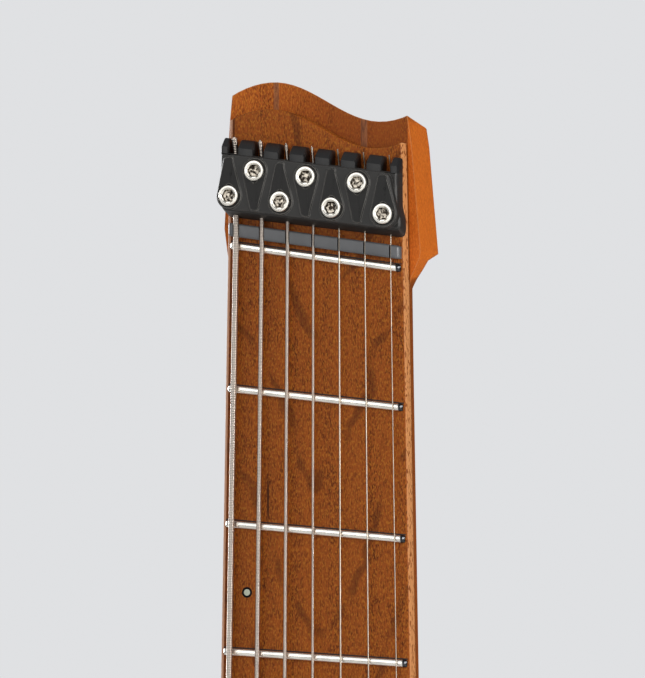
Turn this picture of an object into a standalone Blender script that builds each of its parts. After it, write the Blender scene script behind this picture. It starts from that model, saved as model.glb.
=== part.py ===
"""Headless seven-string electric guitar with fanned frets, standing head up.

Frame: +X is the treble side, the strings face -Y, and +Z runs up the neck.
The origin is the centre of the tail strap button's flat end.
"""
import math

import bmesh
import bpy
from mathutils import Matrix, Vector

MM = 0.001
GAP = 0.3 * MM

# Scales and strings
STRING_COUNT = 7
BASS_SCALE = 666.75 * MM
TREBLE_SCALE = 647.7 * MM
NEUTRAL_FRET = 7
FRET_COUNT = 24
NUT_SPREAD = 42.4 * MM
BRIDGE_SPREAD = 63.0 * MM
GAUGES = [1.50 * MM, 1.17 * MM, 0.91 * MM, 0.66 * MM, 0.43 * MM, 0.33 * MM, 0.25 * MM]
STRING_SIDES = 2
BASS_SADDLE_Z = 95.0 * MM

# Depths along Y: the body's front, its back and the fingerboard's playing face
BODY_THICKNESS = 42.0 * MM
BODY_BACK_Y = 13.0 * MM
BODY_FRONT_Y = BODY_BACK_Y - BODY_THICKNESS
BOARD_STANDS = 8.0 * MM
BOARD_Y = BODY_FRONT_Y - BOARD_STANDS
ACTION_AT_SADDLE = 4.6 * MM

# Fingerboard and frets
BOARD_THICKNESS = 4.0 * MM
BOARD_HALF_AT_NUT = 24.3 * MM
BOARD_TAPER = 0.0172
BOARD_PAST_LAST_FRET = 8.0 * MM
FRET_HEIGHT = 1.2 * MM
FRET_HALF = 1.05 * MM
FRET_INSET = 0.8 * MM

# Nut, seen from the zero fret towards the head
NUT_NEAR = 2.4 * MM
NUT_LENGTH = 3.5 * MM
NUT_HEIGHT = 2.1 * MM
NUT_INSET = 0.6 * MM
NUT_SLOT_DEPTH = 1.05 * MM
NUT_SLOT_PAST = 3.0 * MM

# Headpiece that clamps the strings
HEADPIECE_SLOPE = -0.132
PLATE_LOW = 9.4 * MM
PLATE_HIGH = 24.1 * MM
PLATE_FRONT = 7.3 * MM
PAD_RAISE = 0.7 * MM
PLATE_HALF_LOW = 24.9 * MM
PLATE_HALF_HIGH = 22.0 * MM
LOW_ROW = 13.2 * MM
HIGH_ROW = 20.5 * MM
PRONG_LENGTH = 5.0 * MM
PRONG_HALF = 2.05 * MM
PRONG_FRONT = 5.2 * MM
CLAMP_BORE_RADIUS = 1.05 * MM
CLAMP_FLOOR = 0.55 * MM
CUT_END_LENGTH = 3.2 * MM

LOCK_HEAD_RADIUS = 2.7 * MM
LOCK_HEAD_HEIGHT = 3.0 * MM
LOCK_HEAD_PROUD = 0.55 * MM
LOCK_SHANK_RADIUS = 1.5 * MM
LOCK_SOCKET_RADIUS = 1.55 * MM
LOCK_SOCKET_DEPTH = 1.5 * MM

# Neck
NECK_DEPTH = 15.5 * MM
NECK_ROUNDNESS = 2.3
NECK_SWELLS = ((250 * MM, 0.7 * MM), (120 * MM, 0.3 * MM))
HEAD_BEGINS_BELOW = 30.0 * MM
HEEL_DEPTH = 20.5 * MM
HEAD_DEPTH = 18.3 * MM
WING_LOW = -8.3 * MM
POCKET_LENGTH = 95.0 * MM
HEEL_LENGTH = 62.0 * MM
HEEL_BLEND = 45.0 * MM
TRUSS_RADIUS = 2.6 * MM
TRUSS_DROP = 5.2 * MM
TRUSS_TOP = 24.0 * MM
WHEEL_RADIUS = 4.6 * MM
WHEEL_LENGTH = 7.0 * MM

# Body outline as seen from the front, bass side at -X, from the tail round to the tail
BODY_OUTLINE = [(-22.0, 12.0), (-70.0, 13.0), (-125.0, 36.0), (-152.0, 98.0), (-136.0, 168.0),
                (-113.0, 226.0), (-118.0, 290.0), (-126.0, 348.0), (-112.0, 398.0),
                (-80.0, 399.0), (-60.0, 354.0), (-42.0, 325.0), (0.0, 316.0), (42.0, 308.0),
                (60.0, 322.0), (80.0, 346.0), (104.0, 348.0), (121.0, 320.0), (119.0, 270.0),
                (115.0, 218.0), (126.0, 168.0), (150.0, 115.0), (152.0, 66.0), (120.0, 26.0),
                (70.0, 13.0), (22.0, 12.0)]
BODY_ROUNDING = 7.0 * MM
SCOOP_DEPTH = 16.0 * MM
SCOOP_HALF = 46.0 * MM

# Bridge units: housing with its saddle, a sliding string holder and its tuning knob
UNIT_HALF = 4.9 * MM
UNIT_FRONT = 4.0 * MM
UNIT_REAR = 50.0 * MM
UNIT_WALL = 3.0 * MM
UNIT_HEIGHT = 8.6 * MM
TUNER_HEIGHT = 4.4 * MM
SADDLE_REAR = 1.0 * MM
SLIDE_BORE = 3.0 * MM
SLIDE_RADIUS = 2.7 * MM
SLIDE_HOLE = 1.8 * MM
SLIDE_FRONT = 21.0 * MM
SLIDE_LENGTH = 20.0 * MM
STRING_LEVEL = 11.0 * MM
STRING_TAIL = 32.0 * MM
BALL_RADIUS = 1.3 * MM
STUD_RADIUS = 1.5 * MM
STUD_REACH = 36.0 * MM
KNOB_RADIUS = 4.6 * MM
KNOB_LENGTH = 14.0 * MM
WINDOW_REAR = 20.0 * MM

# Pickups, centred on the strings and slanted with the fan
PICKUP_HALF_WIDTH = 45.0 * MM
PICKUP_HALF_HEIGHT = 18.5 * MM
PICKUP_STANDS = 7.5 * MM
PICKUP_DEPTH = 18.0 * MM
NECK_PICKUP = (226.0 * MM, 0.15)
BRIDGE_PICKUP = (141.0 * MM, 0.185)

# Controls
CONTROL_CAVITY = [(76.0, 112.0), (104.0, 68.0), (132.0, 74.0), (134.0, 116.0), (121.0, 160.0),
                  (103.0, 204.0), (78.0, 204.0)]
CONTROL_TOP = 7.0 * MM
COVER_THICKNESS = 2.5 * MM
COVER_LIP = 4.0 * MM
VOLUME_AT = (99.0 * MM, 152.0 * MM)
TONE_AT = (112.0 * MM, 116.0 * MM)
SELECTOR_AT = (91.0 * MM, 188.0 * MM)
BUSHING_RADIUS = 4.7 * MM
SHAFT_RADIUS = 2.9 * MM
POT_RADIUS = 8.5 * MM
POT_LENGTH = 9.5 * MM
CONTROL_KNOB_RADIUS = 9.0 * MM
CONTROL_KNOB_HEIGHT = 15.0 * MM
LEVER_RADIUS = 1.6 * MM
LEVER_BORE = 3.4 * MM
LEVER_TIP = 16.0 * MM
JACK_Z = 84.0 * MM
JACK_FACE_X = 147.5 * MM
JACK_BORE = 3.25 * MM
JACK_BARREL = 7.5 * MM
JACK_FLANGE = 11.0 * MM
JACK_LENGTH = 27.0 * MM

# Fasteners
BUTTON_HEIGHT = 12.0 * MM
BUTTON_RADIUS = 8.0 * MM
HORN_BUTTON_X = -96.0 * MM
HORN_SEAT_CUT = 1.0
HORN_SEAT_Z = (max(z for _, z in BODY_OUTLINE) - HORN_SEAT_CUT) * MM
BOLT_X = 16.0 * MM
BOLT_UP = (12.0 * MM, 34.0 * MM)
BOLT_RADIUS = 2.0 * MM
BOLT_HEAD = 4.5 * MM


def head_wave(x):
    """Height of the wave-shaped head end above the zero fret, at x from the centreline."""
    crest_x, dip_x = -13.0 * MM, 17.0 * MM
    crest, dip = 46.3 * MM, 35.4 * MM
    share = (x - crest_x) / (dip_x - crest_x)
    if share < 0.0:
        return crest - 22.0 * share * share * MM
    if share > 1.0:
        return dip + 26.0 * (share - 1.0) ** 2 * MM
    return crest + (dip - crest) * (0.5 - 0.5 * math.cos(math.pi * share))


def string_share(index):
    """-0.5 for the lowest string, at -X, to +0.5 for the highest."""
    return index / (STRING_COUNT - 1) - 0.5


def scale_of(share):
    return BASS_SCALE + (TREBLE_SCALE - BASS_SCALE) * (share + 0.5)


def saddle_z(share):
    """The fan is square to the centreline at the neutral fret."""
    lead = (BASS_SCALE - TREBLE_SCALE) * 2 ** (-NEUTRAL_FRET / 12)
    return BASS_SADDLE_Z + lead * (share + 0.5)


def fret_z(share, fret):
    return saddle_z(share) + scale_of(share) * 2 ** (-fret / 12)


ZERO_Z = fret_z(0.0, 0)


def fan_x(share, z):
    """Across the neck at height z, for a line at this share of the string spread."""
    up = (z - saddle_z(0.0)) / (ZERO_Z - saddle_z(0.0))
    return share * (BRIDGE_SPREAD + (NUT_SPREAD - BRIDGE_SPREAD) * up)


def board_half(z):
    return BOARD_HALF_AT_NUT + BOARD_TAPER * (ZERO_Z - z)


def fret_point(side, fret, inset=0.0):
    """Where a fret's line meets the board's edge; side is -1 for bass and +1 for treble."""
    share = side * 0.5
    for _ in range(8):
        z = fret_z(share, fret)
        share = side * (board_half(z) - inset) / (2 * fan_x(0.5, z))
    return side * (board_half(z) - inset), z


# Scene helpers

def clear_scene():
    for item in list(bpy.data.objects):
        bpy.data.objects.remove(item, do_unlink=True)


def new_collection(name):
    group = bpy.data.collections.new(name)
    bpy.context.scene.collection.children.link(group)
    return group


def material(name, color, roughness, metallic=0.0):
    mat = bpy.data.materials.new(name)
    mat.use_nodes = True
    shader = mat.node_tree.nodes["Principled BSDF"]
    shader.inputs["Base Color"].default_value = (*color, 1.0)
    shader.inputs["Roughness"].default_value = roughness
    shader.inputs["Metallic"].default_value = metallic
    return mat


def place(name, mesh, mat, group):
    item = bpy.data.objects.new(name, mesh)
    group.objects.link(item)
    if mat is not None:
        mesh.materials.clear()
        mesh.materials.append(mat)
    if group is CUTTERS:
        item.hide_render = True
        item.display_type = "WIRE"
    return item


def box(name, low, high, mat, group):
    bm = bmesh.new()
    bmesh.ops.create_cube(bm, size=1.0)
    low, high = Vector(low), Vector(high)
    size = high - low
    bmesh.ops.scale(bm, vec=size, verts=bm.verts)
    bmesh.ops.translate(bm, vec=(low + high) / 2, verts=bm.verts)
    mesh = bpy.data.meshes.new(name)
    bm.to_mesh(mesh)
    bm.free()
    return place(name, mesh, mat, group)


def rod(name, start, end, radius, mat, group, sides=16, end_radius=None):
    """A cylinder, or a cone when end_radius is given, from one point to another."""
    start, end = Vector(start), Vector(end)
    bm = bmesh.new()
    bmesh.ops.create_cone(bm, cap_ends=True, segments=sides, radius1=radius,
                          radius2=radius if end_radius is None else end_radius,
                          depth=(end - start).length)
    turn = (end - start).to_track_quat("Z", "Y").to_matrix().to_4x4()
    bmesh.ops.transform(bm, matrix=Matrix.Translation((start + end) / 2) @ turn, verts=bm.verts)
    mesh = bpy.data.meshes.new(name)
    bm.to_mesh(mesh)
    bm.free()
    mesh.shade_smooth()
    mesh.set_sharp_from_angle(angle=math.radians(35))
    return place(name, mesh, mat, group)


def turned(name, profile, origin, direction, mat, group, steps=24):
    """Spin a profile of (radius, height) pairs, listed from its top down, about direction."""
    mesh = bpy.data.meshes.new(name)
    points = [(radius, 0.0, height) for radius, height in profile]
    edges = [(i, i + 1) for i in range(len(points) - 1)]
    mesh.from_pydata(points, edges, [])
    item = place(name, mesh, mat, group)
    turn = Vector(direction).to_track_quat("Z", "Y").to_matrix().to_4x4()
    item.matrix_world = Matrix.Translation(origin) @ turn
    spin = item.modifiers.new("spin", "SCREW")
    spin.steps = steps
    spin.render_steps = steps
    spin.use_merge_vertices = True
    spin.merge_threshold = 0.00002
    spin.use_smooth_shade = True
    return item


def mesh_of_curve(curve_item, name, mat, group):
    """Replace a curve object by the closed mesh that it makes."""
    graph = bpy.context.evaluated_depsgraph_get()
    mesh = bpy.data.meshes.new_from_object(curve_item.evaluated_get(graph))
    bm = bmesh.new()
    bm.from_mesh(mesh)
    bmesh.ops.remove_doubles(bm, verts=bm.verts, dist=0.00001)
    bmesh.ops.recalc_face_normals(bm, faces=bm.faces)
    bm.to_mesh(mesh)
    bm.free()
    mesh.name = name
    world = curve_item.matrix_world.copy()
    bpy.data.objects.remove(curve_item, do_unlink=True)
    item = place(name, mesh, mat, group)
    item.matrix_world = world
    return item


def front_outline(name, points, y_low, y_high, mat, group, smooth=False, rounding=0.0,
                  steps=6):
    """An outline drawn in the X-Z plane, as seen from the front, with its depth along Y."""
    curve = bpy.data.curves.new(name, "CURVE")
    curve.dimensions = "2D"
    curve.fill_mode = "BOTH"
    curve.extrude = (y_high - y_low) / 2 - rounding
    curve.bevel_depth = rounding
    curve.bevel_resolution = 1
    curve.offset = -rounding
    if smooth:
        curve.resolution_u = steps
        spline = curve.splines.new("BEZIER")
        spline.bezier_points.add(len(points) - 1)
        for knot, (x, z) in zip(spline.bezier_points, points):
            knot.co = (x, z, 0.0)
            knot.handle_left_type = "AUTO"
            knot.handle_right_type = "AUTO"
    else:
        spline = curve.splines.new("POLY")
        spline.points.add(len(points) - 1)
        for knot, (x, z) in zip(spline.points, points):
            knot.co = (x, z, 0.0, 1.0)
    spline.use_cyclic_u = True
    item = bpy.data.objects.new(name, curve)
    bpy.context.scene.collection.objects.link(item)
    item.rotation_euler = (math.pi / 2, 0.0, 0.0)
    item.location = (0.0, (y_low + y_high) / 2, 0.0)
    bpy.context.view_layer.update()
    return mesh_of_curve(item, name, mat, group)


def merge(name, items, group):
    """Several separate solids as one mesh, so that one Boolean handles them all."""
    bm = bmesh.new()
    for item in items:
        start = len(bm.verts)
        bm.from_mesh(item.data)
        bm.verts.ensure_lookup_table()
        bmesh.ops.transform(bm, matrix=item.matrix_world, verts=bm.verts[start:])
        bpy.data.objects.remove(item, do_unlink=True)
    mesh = bpy.data.meshes.new(name)
    bm.to_mesh(mesh)
    bm.free()
    return place(name, mesh, None, group)


def cut(item, cutter, operation="DIFFERENCE"):
    step = item.modifiers.new(cutter.name, "BOOLEAN")
    step.operation = operation
    step.solver = "EXACT"
    step.object = cutter


def tube(name, points, radius, mat, group):
    curve = bpy.data.curves.new(name, "CURVE")
    curve.dimensions = "3D"
    curve.bevel_depth = radius
    curve.bevel_resolution = STRING_SIDES
    curve.use_fill_caps = True
    spline = curve.splines.new("POLY")
    spline.points.add(len(points) - 1)
    for knot, point in zip(spline.points, points):
        knot.co = (*point, 1.0)
    item = bpy.data.objects.new(name, curve)
    group.objects.link(item)
    curve.materials.append(mat)
    return item


def loft(name, shapes, mat, group):
    """Each shape is a list of rings of equally many points, joined in order and closed."""
    bm = bmesh.new()
    for rings in shapes:
        rows = [[bm.verts.new(point) for point in ring] for ring in rings]
        count = len(rows[0])
        for lower, upper in zip(rows, rows[1:]):
            for i in range(count):
                j = (i + 1) % count
                bm.faces.new((lower[i], lower[j], upper[j], upper[i]))
        bm.faces.new(rows[0][::-1])
        bm.faces.new(rows[-1])
    bmesh.ops.triangulate(bm, faces=bm.faces)
    bmesh.ops.recalc_face_normals(bm, faces=bm.faces)
    mesh = bpy.data.meshes.new(name)
    bm.to_mesh(mesh)
    bm.free()
    mesh.shade_smooth()
    mesh.set_sharp_from_angle(angle=math.radians(35))
    return place(name, mesh, mat, group)


clear_scene()
GUITAR = new_collection("headless_guitar")
CUTTERS = new_collection("cutters")
MAPLE = material("roasted_maple", (0.33, 0.13, 0.04), 0.45)
BODY_WOOD = material("body_wood", (0.30, 0.15, 0.07), 0.4)
BLACK_METAL = material("black_anodised", (0.03, 0.03, 0.032), 0.45, 0.6)
NICKEL = material("nickel", (0.75, 0.73, 0.70), 0.25, 1.0)
STEEL = material("steel", (0.70, 0.70, 0.70), 0.3, 1.0)
NUT_MATERIAL = material("graphite_nut", (0.12, 0.12, 0.13), 0.5)
PLASTIC = material("black_plastic", (0.02, 0.02, 0.02), 0.4)


# Fingerboard with its frets

def board_end_wave(x):
    """The board ends short of the head's end, on the same wave."""
    return ZERO_Z + head_wave(x) - 7.3 * MM


def build_fingerboard():
    low_left = fret_point(-1, FRET_COUNT)
    low_right = fret_point(1, FRET_COUNT)
    outline = [(low_left[0], low_left[1] - BOARD_PAST_LAST_FRET),
               (low_right[0], low_right[1] - BOARD_PAST_LAST_FRET)]
    top_half = board_half(ZERO_Z + 30 * MM)
    steps = 24
    for i in range(steps + 1):
        x = top_half * (1 - 2 * i / steps)
        outline.append((x, board_end_wave(x)))
    board = front_outline("fingerboard", outline, BOARD_Y, BOARD_Y + BOARD_THICKNESS,
                          MAPLE, GUITAR)
    wires = [fret_rings(fret, BOARD_Y + 0.5 * MM) for fret in range(1, FRET_COUNT + 1)]
    cut(board, loft("fret_wires", wires, STEEL, CUTTERS), "UNION")
    return board


def fret_rings(fret, root_y):
    """A half-round crown along the fan's line, with ends bevelled in from the board's edge."""
    left_x, left_z = fret_point(-1, fret, FRET_INSET)
    right_x, right_z = fret_point(1, fret, FRET_INSET)
    left = Vector((left_x, 0.0, left_z))
    right = Vector((right_x, 0.0, right_z))
    along = (right - left).normalized()
    across = Vector((-along.z, 0.0, along.x))
    profile = [(-FRET_HALF, root_y)]
    arc = 5
    for i in range(1, arc):
        angle = math.pi * i / arc
        profile.append((-FRET_HALF * math.cos(angle), BOARD_Y - FRET_HEIGHT * math.sin(angle)))
    profile.append((FRET_HALF, root_y))
    rings = []
    for base, inward in ((left, along), (right, -along)):
        ring = []
        for offset, y in profile:
            point = base + across * offset + inward * max(0.0, BOARD_Y - y) * 0.5
            ring.append((point.x, y, point.z))
        rings.append(ring)
    return rings


build_fingerboard()
loft("zero_fret", [fret_rings(0, BOARD_Y - GAP)], STEEL, GUITAR)


# Neck: square heel, rounded shaft, and a head block that flares into a wing

NECK_FRONT = BOARD_Y + BOARD_THICKNESS + GAP
HEEL_END_Z = fret_point(1, FRET_COUNT)[1] - BOARD_PAST_LAST_FRET

# Height from the zero fret, then the half widths on the bass and the treble side
HEAD_SIDES = [(-8.3, 24.5, 24.4), (-5.5, 24.7, 24.9), (-3.0, 24.9, 26.1), (-0.6, 25.2, 27.2),
              (1.4, 25.7, 27.5), (8.2, 26.6, 26.9), (18.1, 26.1, 26.0), (29.5, 25.5, 25.0),
              (36.5, 25.1, 23.9), (42.7, 24.5, 22.8), (50.0, 22.6, 21.4)]


def neck_ring(z, left, right, depth, power, points=16):
    """Flat in front and a superellipse behind; a high power makes it square."""
    ring = []
    for i in range(points + 1):
        angle = math.pi * i / points
        side = right if math.cos(angle) > 0 else -left
        x = side * abs(math.cos(angle)) ** (2 / power)
        y = NECK_FRONT + depth * abs(math.sin(angle)) ** (2 / power)
        ring.append((x, y, z))
    return ring


def build_neck():
    heel_top = HEEL_END_Z + HEEL_LENGTH
    shaft_low = heel_top + HEEL_BLEND
    rings = []
    for z, depth, power in ((HEEL_END_Z, HEEL_DEPTH, 16.0), (heel_top, HEEL_DEPTH, 16.0),
                            (heel_top + HEEL_BLEND * 0.3, HEEL_DEPTH - 0.8 * MM, 7.0),
                            (heel_top + HEEL_BLEND * 0.65, NECK_DEPTH + 2.2 * MM, 3.6),
                            (shaft_low, NECK_DEPTH + 1.2 * MM, 2.5),
                            *((ZERO_Z - down, NECK_DEPTH + swell, NECK_ROUNDNESS)
                              for down, swell in NECK_SWELLS),
                            (ZERO_Z - HEAD_BEGINS_BELOW, NECK_DEPTH, NECK_ROUNDNESS)):
        half = board_half(z)
        rings.append(neck_ring(z, half, half, depth, power))
    for height, left, right in HEAD_SIDES:
        block = height > 1.0
        depth = HEAD_DEPTH if block else NECK_DEPTH
        if WING_LOW < height * MM <= 0.0:
            depth += 0.8 * MM
        power = 14.0 if block else 2.4 + 0.25 * (height + 8.3)
        rings.append(neck_ring(ZERO_Z + height * MM, left * MM, right * MM, depth, power))
    neck = loft("neck", [rings], MAPLE, GUITAR)
    beyond = [(-35 * MM, ZERO_Z + 70 * MM), (-35 * MM, ZERO_Z + head_wave(-27 * MM))]
    steps = 26
    for i in range(steps + 1):
        x = (-27 + 56 * i / steps) * MM
        beyond.append((x, ZERO_Z + head_wave(x)))
    beyond += [(35 * MM, beyond[-1][1]), (35 * MM, ZERO_Z + 70 * MM)]
    wave = front_outline("beyond_head", beyond, NECK_FRONT - 6 * MM, NECK_FRONT + 30 * MM,
                         None, CUTTERS)
    pivot = Vector((0.0, NECK_FRONT, ZERO_Z + 40 * MM))
    lean = Matrix.Rotation(math.radians(-9.0), 4, "X")
    wave.matrix_world = (Matrix.Translation(pivot) @ lean @ Matrix.Translation(-pivot)
                         @ wave.matrix_world)
    cut(neck, wave)
    truss_y = NECK_FRONT + TRUSS_DROP
    channel = rod("truss_channel", (0, truss_y, HEEL_END_Z - 5 * MM),
                  (0, truss_y, ZERO_Z - TRUSS_TOP), TRUSS_RADIUS + GAP, None, CUTTERS)
    cut(neck, channel)
    rod("truss_rod", (0, truss_y, HEEL_END_Z + 1 * MM),
        (0, truss_y, ZERO_Z - TRUSS_TOP - GAP), TRUSS_RADIUS, STEEL, GUITAR, sides=12)
    return neck


def slant(x, slope):
    return ZERO_Z + slope * x


NUT_SLOPE = (fret_z(0.5, 0) - fret_z(-0.5, 0)) / NUT_SPREAD


def string_radius(index):
    return GAUGES[index] / 2


def clamp_y(index):
    """Centre of a string where it lies on the floor of its clamp bore."""
    return BOARD_Y - (GAP + CLAMP_FLOOR + GAP + string_radius(index))


def crown_y(index):
    return BOARD_Y - (FRET_HEIGHT + GAP + string_radius(index))


def build_nut():
    half = board_half(ZERO_Z) - NUT_INSET
    near, far = NUT_NEAR, NUT_NEAR + NUT_LENGTH
    outline = [(-half, slant(-half, NUT_SLOPE) + near), (half, slant(half, NUT_SLOPE) + near),
               (half, slant(half, NUT_SLOPE) + far), (-half, slant(-half, NUT_SLOPE) + far)]
    nut = front_outline("string_nut", outline, BOARD_Y - NUT_HEIGHT, BOARD_Y - GAP,
                        NUT_MATERIAL, GUITAR)
    slots = []
    for index in range(STRING_COUNT):
        x = string_share(index) * NUT_SPREAD
        half_slot = string_radius(index) + GAP
        z = slant(x, NUT_SLOPE)
        slots.append(box(f"slot_{index}", (x - half_slot, BOARD_Y - 2 * NUT_HEIGHT, z),
                         (x + half_slot, BOARD_Y - NUT_SLOT_DEPTH, z + far + NUT_SLOT_PAST),
                         None, CUTTERS))
    cut(nut, merge("nut_slots", slots, CUTTERS))


def plate_outline(low, high, half_low, half_high, corner):
    """A slanted plate, wider at its nut side, with its two corners there cut round."""
    points = []
    for side in (-1, 1):
        x = side * half_low
        lower = [(x - side * corner, slant(x - side * corner, HEADPIECE_SLOPE) + low),
                 (x - side * 0.3 * corner, slant(x, HEADPIECE_SLOPE) + low + 0.3 * corner),
                 (x, slant(x, HEADPIECE_SLOPE) + low + corner)]
        points.append(lower[::-1] if side < 0 else lower)
    right_top = (half_high, slant(half_high, HEADPIECE_SLOPE) + high)
    left_top = (-half_high, slant(-half_high, HEADPIECE_SLOPE) + high)
    return points[0] + points[1] + [right_top, left_top]


def screw_centre(index):
    x = string_share(index) * NUT_SPREAD
    row = LOW_ROW if index % 2 == 0 else HIGH_ROW
    return x, slant(x, HEADPIECE_SLOPE) + row


def pad_outline(index):
    """Tapered pad: wide and round about its screw, narrow at the plate's far edge."""
    x, z = screw_centre(index)
    turn = 1 if index % 2 == 0 else -1
    reach = (PLATE_HIGH - LOW_ROW if turn > 0 else HIGH_ROW - PLATE_LOW) - 0.9 * MM
    wide, narrow = 3.3 * MM, 1.35 * MM
    points = []
    for i in range(7):
        angle = math.pi * (1 + i / 6)
        points.append((x + wide * math.cos(angle), z + turn * wide * math.sin(angle)))
    points.append((x + narrow, z + turn * reach))
    points.append((x - narrow, z + turn * reach))
    return points


def build_headpiece():
    front = BOARD_Y - PLATE_FRONT
    back = BOARD_Y - GAP
    body = front_outline("headpiece",
                         plate_outline(PLATE_LOW, PLATE_HIGH - 1.2 * MM, PLATE_HALF_LOW,
                                       PLATE_HALF_LOW, 2.6 * MM),
                         BOARD_Y - PRONG_FRONT, back, BLACK_METAL, GUITAR)
    plate = front_outline("plate",
                          plate_outline(PLATE_LOW + 0.05 * MM, PLATE_HIGH,
                                        PLATE_HALF_LOW - 0.3 * MM, PLATE_HALF_HIGH, 2.8 * MM),
                          front, BOARD_Y - PRONG_FRONT + 0.6 * MM, None, CUTTERS)
    cut(body, plate, "UNION")
    prongs = []
    for index in range(STRING_COUNT + 1):
        x = (string_share(index) - 0.5 / (STRING_COUNT - 1)) * NUT_SPREAD
        low_x, high_x = x - PRONG_HALF, x + PRONG_HALF
        if index == 0:
            low_x, high_x = -PLATE_HALF_LOW + 0.1 * MM, -PLATE_HALF_LOW + 2.6 * MM
        if index == STRING_COUNT:
            low_x, high_x = PLATE_HALF_LOW - 2.6 * MM, PLATE_HALF_LOW - 0.1 * MM
        top = PLATE_HIGH + PRONG_LENGTH
        base = PLATE_HIGH - 3.0 * MM
        outline = [(low_x, slant(low_x, HEADPIECE_SLOPE) + base),
                   (high_x, slant(high_x, HEADPIECE_SLOPE) + base),
                   (high_x, slant(high_x, HEADPIECE_SLOPE) + top),
                   (low_x, slant(low_x, HEADPIECE_SLOPE) + top)]
        prongs.append(front_outline(f"prong_{index}", outline,
                                    BOARD_Y - PRONG_FRONT + 0.4 * MM, back - 0.1 * MM,
                                    None, CUTTERS))
    cut(body, merge("prongs", prongs, CUTTERS), "UNION")
    pads = [front_outline(f"pad_{i}", pad_outline(i), front - PAD_RAISE, front + 0.5 * MM,
                          None, CUTTERS) for i in range(STRING_COUNT)]
    cut(body, merge("pads", pads, CUTTERS), "UNION")
    head_floor = front - PAD_RAISE - LOCK_HEAD_PROUD + LOCK_HEAD_HEIGHT + GAP
    wide_holes, narrow_holes, bores = [], [], []
    for index in range(STRING_COUNT):
        x, z = screw_centre(index)
        wide_holes.append(rod(f"wide_{index}", (x, front - 5 * MM, z), (x, head_floor, z),
                              LOCK_HEAD_RADIUS + GAP, None, CUTTERS, sides=16))
        narrow_holes.append(rod(f"narrow_{index}", (x, head_floor - 0.5 * MM, z),
                                (x, BOARD_Y - 1.6 * MM, z), LOCK_SHANK_RADIUS + GAP,
                                None, CUTTERS, sides=12))
        bore_y = BOARD_Y - (GAP + CLAMP_FLOOR + CLAMP_BORE_RADIUS)
        bores.append(rod(f"bore_{index}", (x, bore_y, ZERO_Z), (x, bore_y, ZERO_Z + 40 * MM),
                         CLAMP_BORE_RADIUS, None, CUTTERS, sides=12))
    cut(body, merge("wide_holes", wide_holes, CUTTERS))
    cut(body, merge("narrow_holes", narrow_holes, CUTTERS))
    cut(body, merge("clamp_bores", bores, CUTTERS))


def build_lock_screw(index):
    x, z = screw_centre(index)
    face = BOARD_Y - PLATE_FRONT - PAD_RAISE - LOCK_HEAD_PROUD
    tip = clamp_y(index) - string_radius(index) - GAP
    length = tip - face
    rim = 0.35 * MM
    profile = [(0.0, length), (LOCK_HEAD_RADIUS - rim, length),
               (LOCK_HEAD_RADIUS, length - rim), (LOCK_HEAD_RADIUS, length - LOCK_HEAD_HEIGHT),
               (LOCK_SHANK_RADIUS, length - LOCK_HEAD_HEIGHT), (LOCK_SHANK_RADIUS, 0.0),
               (0.0, 0.0)]
    screw = turned(f"string_lock_screw_{index + 1}", profile, (x, tip, z), (0, -1, 0),
                   NICKEL, GUITAR, steps=16)
    socket = rod(f"socket_{index + 1}", (x, face - 1 * MM, z),
                 (x, face + LOCK_SOCKET_DEPTH, z), LOCK_SOCKET_RADIUS, None, CUTTERS, sides=6)
    cut(screw, socket)


build_neck()
build_nut()
build_headpiece()
for string in range(STRING_COUNT):
    build_lock_screw(string)


# Strings, from the cut end at the head down to the ball in its sliding holder

TUNER_Y = BODY_FRONT_Y - GAP - TUNER_HEIGHT


def unit_place(index):
    share = string_share(index)
    return share * BRIDGE_SPREAD, saddle_z(share)


def build_string(index):
    share = string_share(index)
    radius = string_radius(index)
    nut_x, bridge = share * NUT_SPREAD, unit_place(index)
    plate_z = slant(nut_x, HEADPIECE_SLOPE)
    zero_z = fret_z(share, 0)
    bend_z = bridge[1] - SADDLE_REAR - GAP - radius * 0.6
    points = [
        (nut_x, clamp_y(index) - 1.3 * MM, plate_z + PLATE_HIGH + CUT_END_LENGTH + 1.2 * MM),
        (nut_x, clamp_y(index), plate_z + PLATE_HIGH + 0.9 * MM),
        (nut_x, clamp_y(index), plate_z + PLATE_LOW - 0.8 * MM),
        (nut_x, crown_y(index), zero_z + 0.8 * MM),
        (nut_x, crown_y(index), zero_z - 0.8 * MM),
        (bridge[0], BOARD_Y - ACTION_AT_SADDLE, bridge[1] + UNIT_FRONT),
        (bridge[0], BOARD_Y - ACTION_AT_SADDLE, bend_z),
        (bridge[0], TUNER_Y, bridge[1] - STRING_LEVEL),
        (bridge[0], TUNER_Y, bridge[1] - STRING_TAIL + 3.0 * MM),
        (bridge[0], TUNER_Y, bridge[1] - STRING_TAIL + 2.4 * MM),
        (bridge[0], TUNER_Y, bridge[1] - STRING_TAIL)]
    string = tube(f"string_{index + 1}", points, radius, STEEL, GUITAR)
    for knot in string.data.splines[0].points[-2:]:
        knot.radius = BALL_RADIUS / radius


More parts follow.
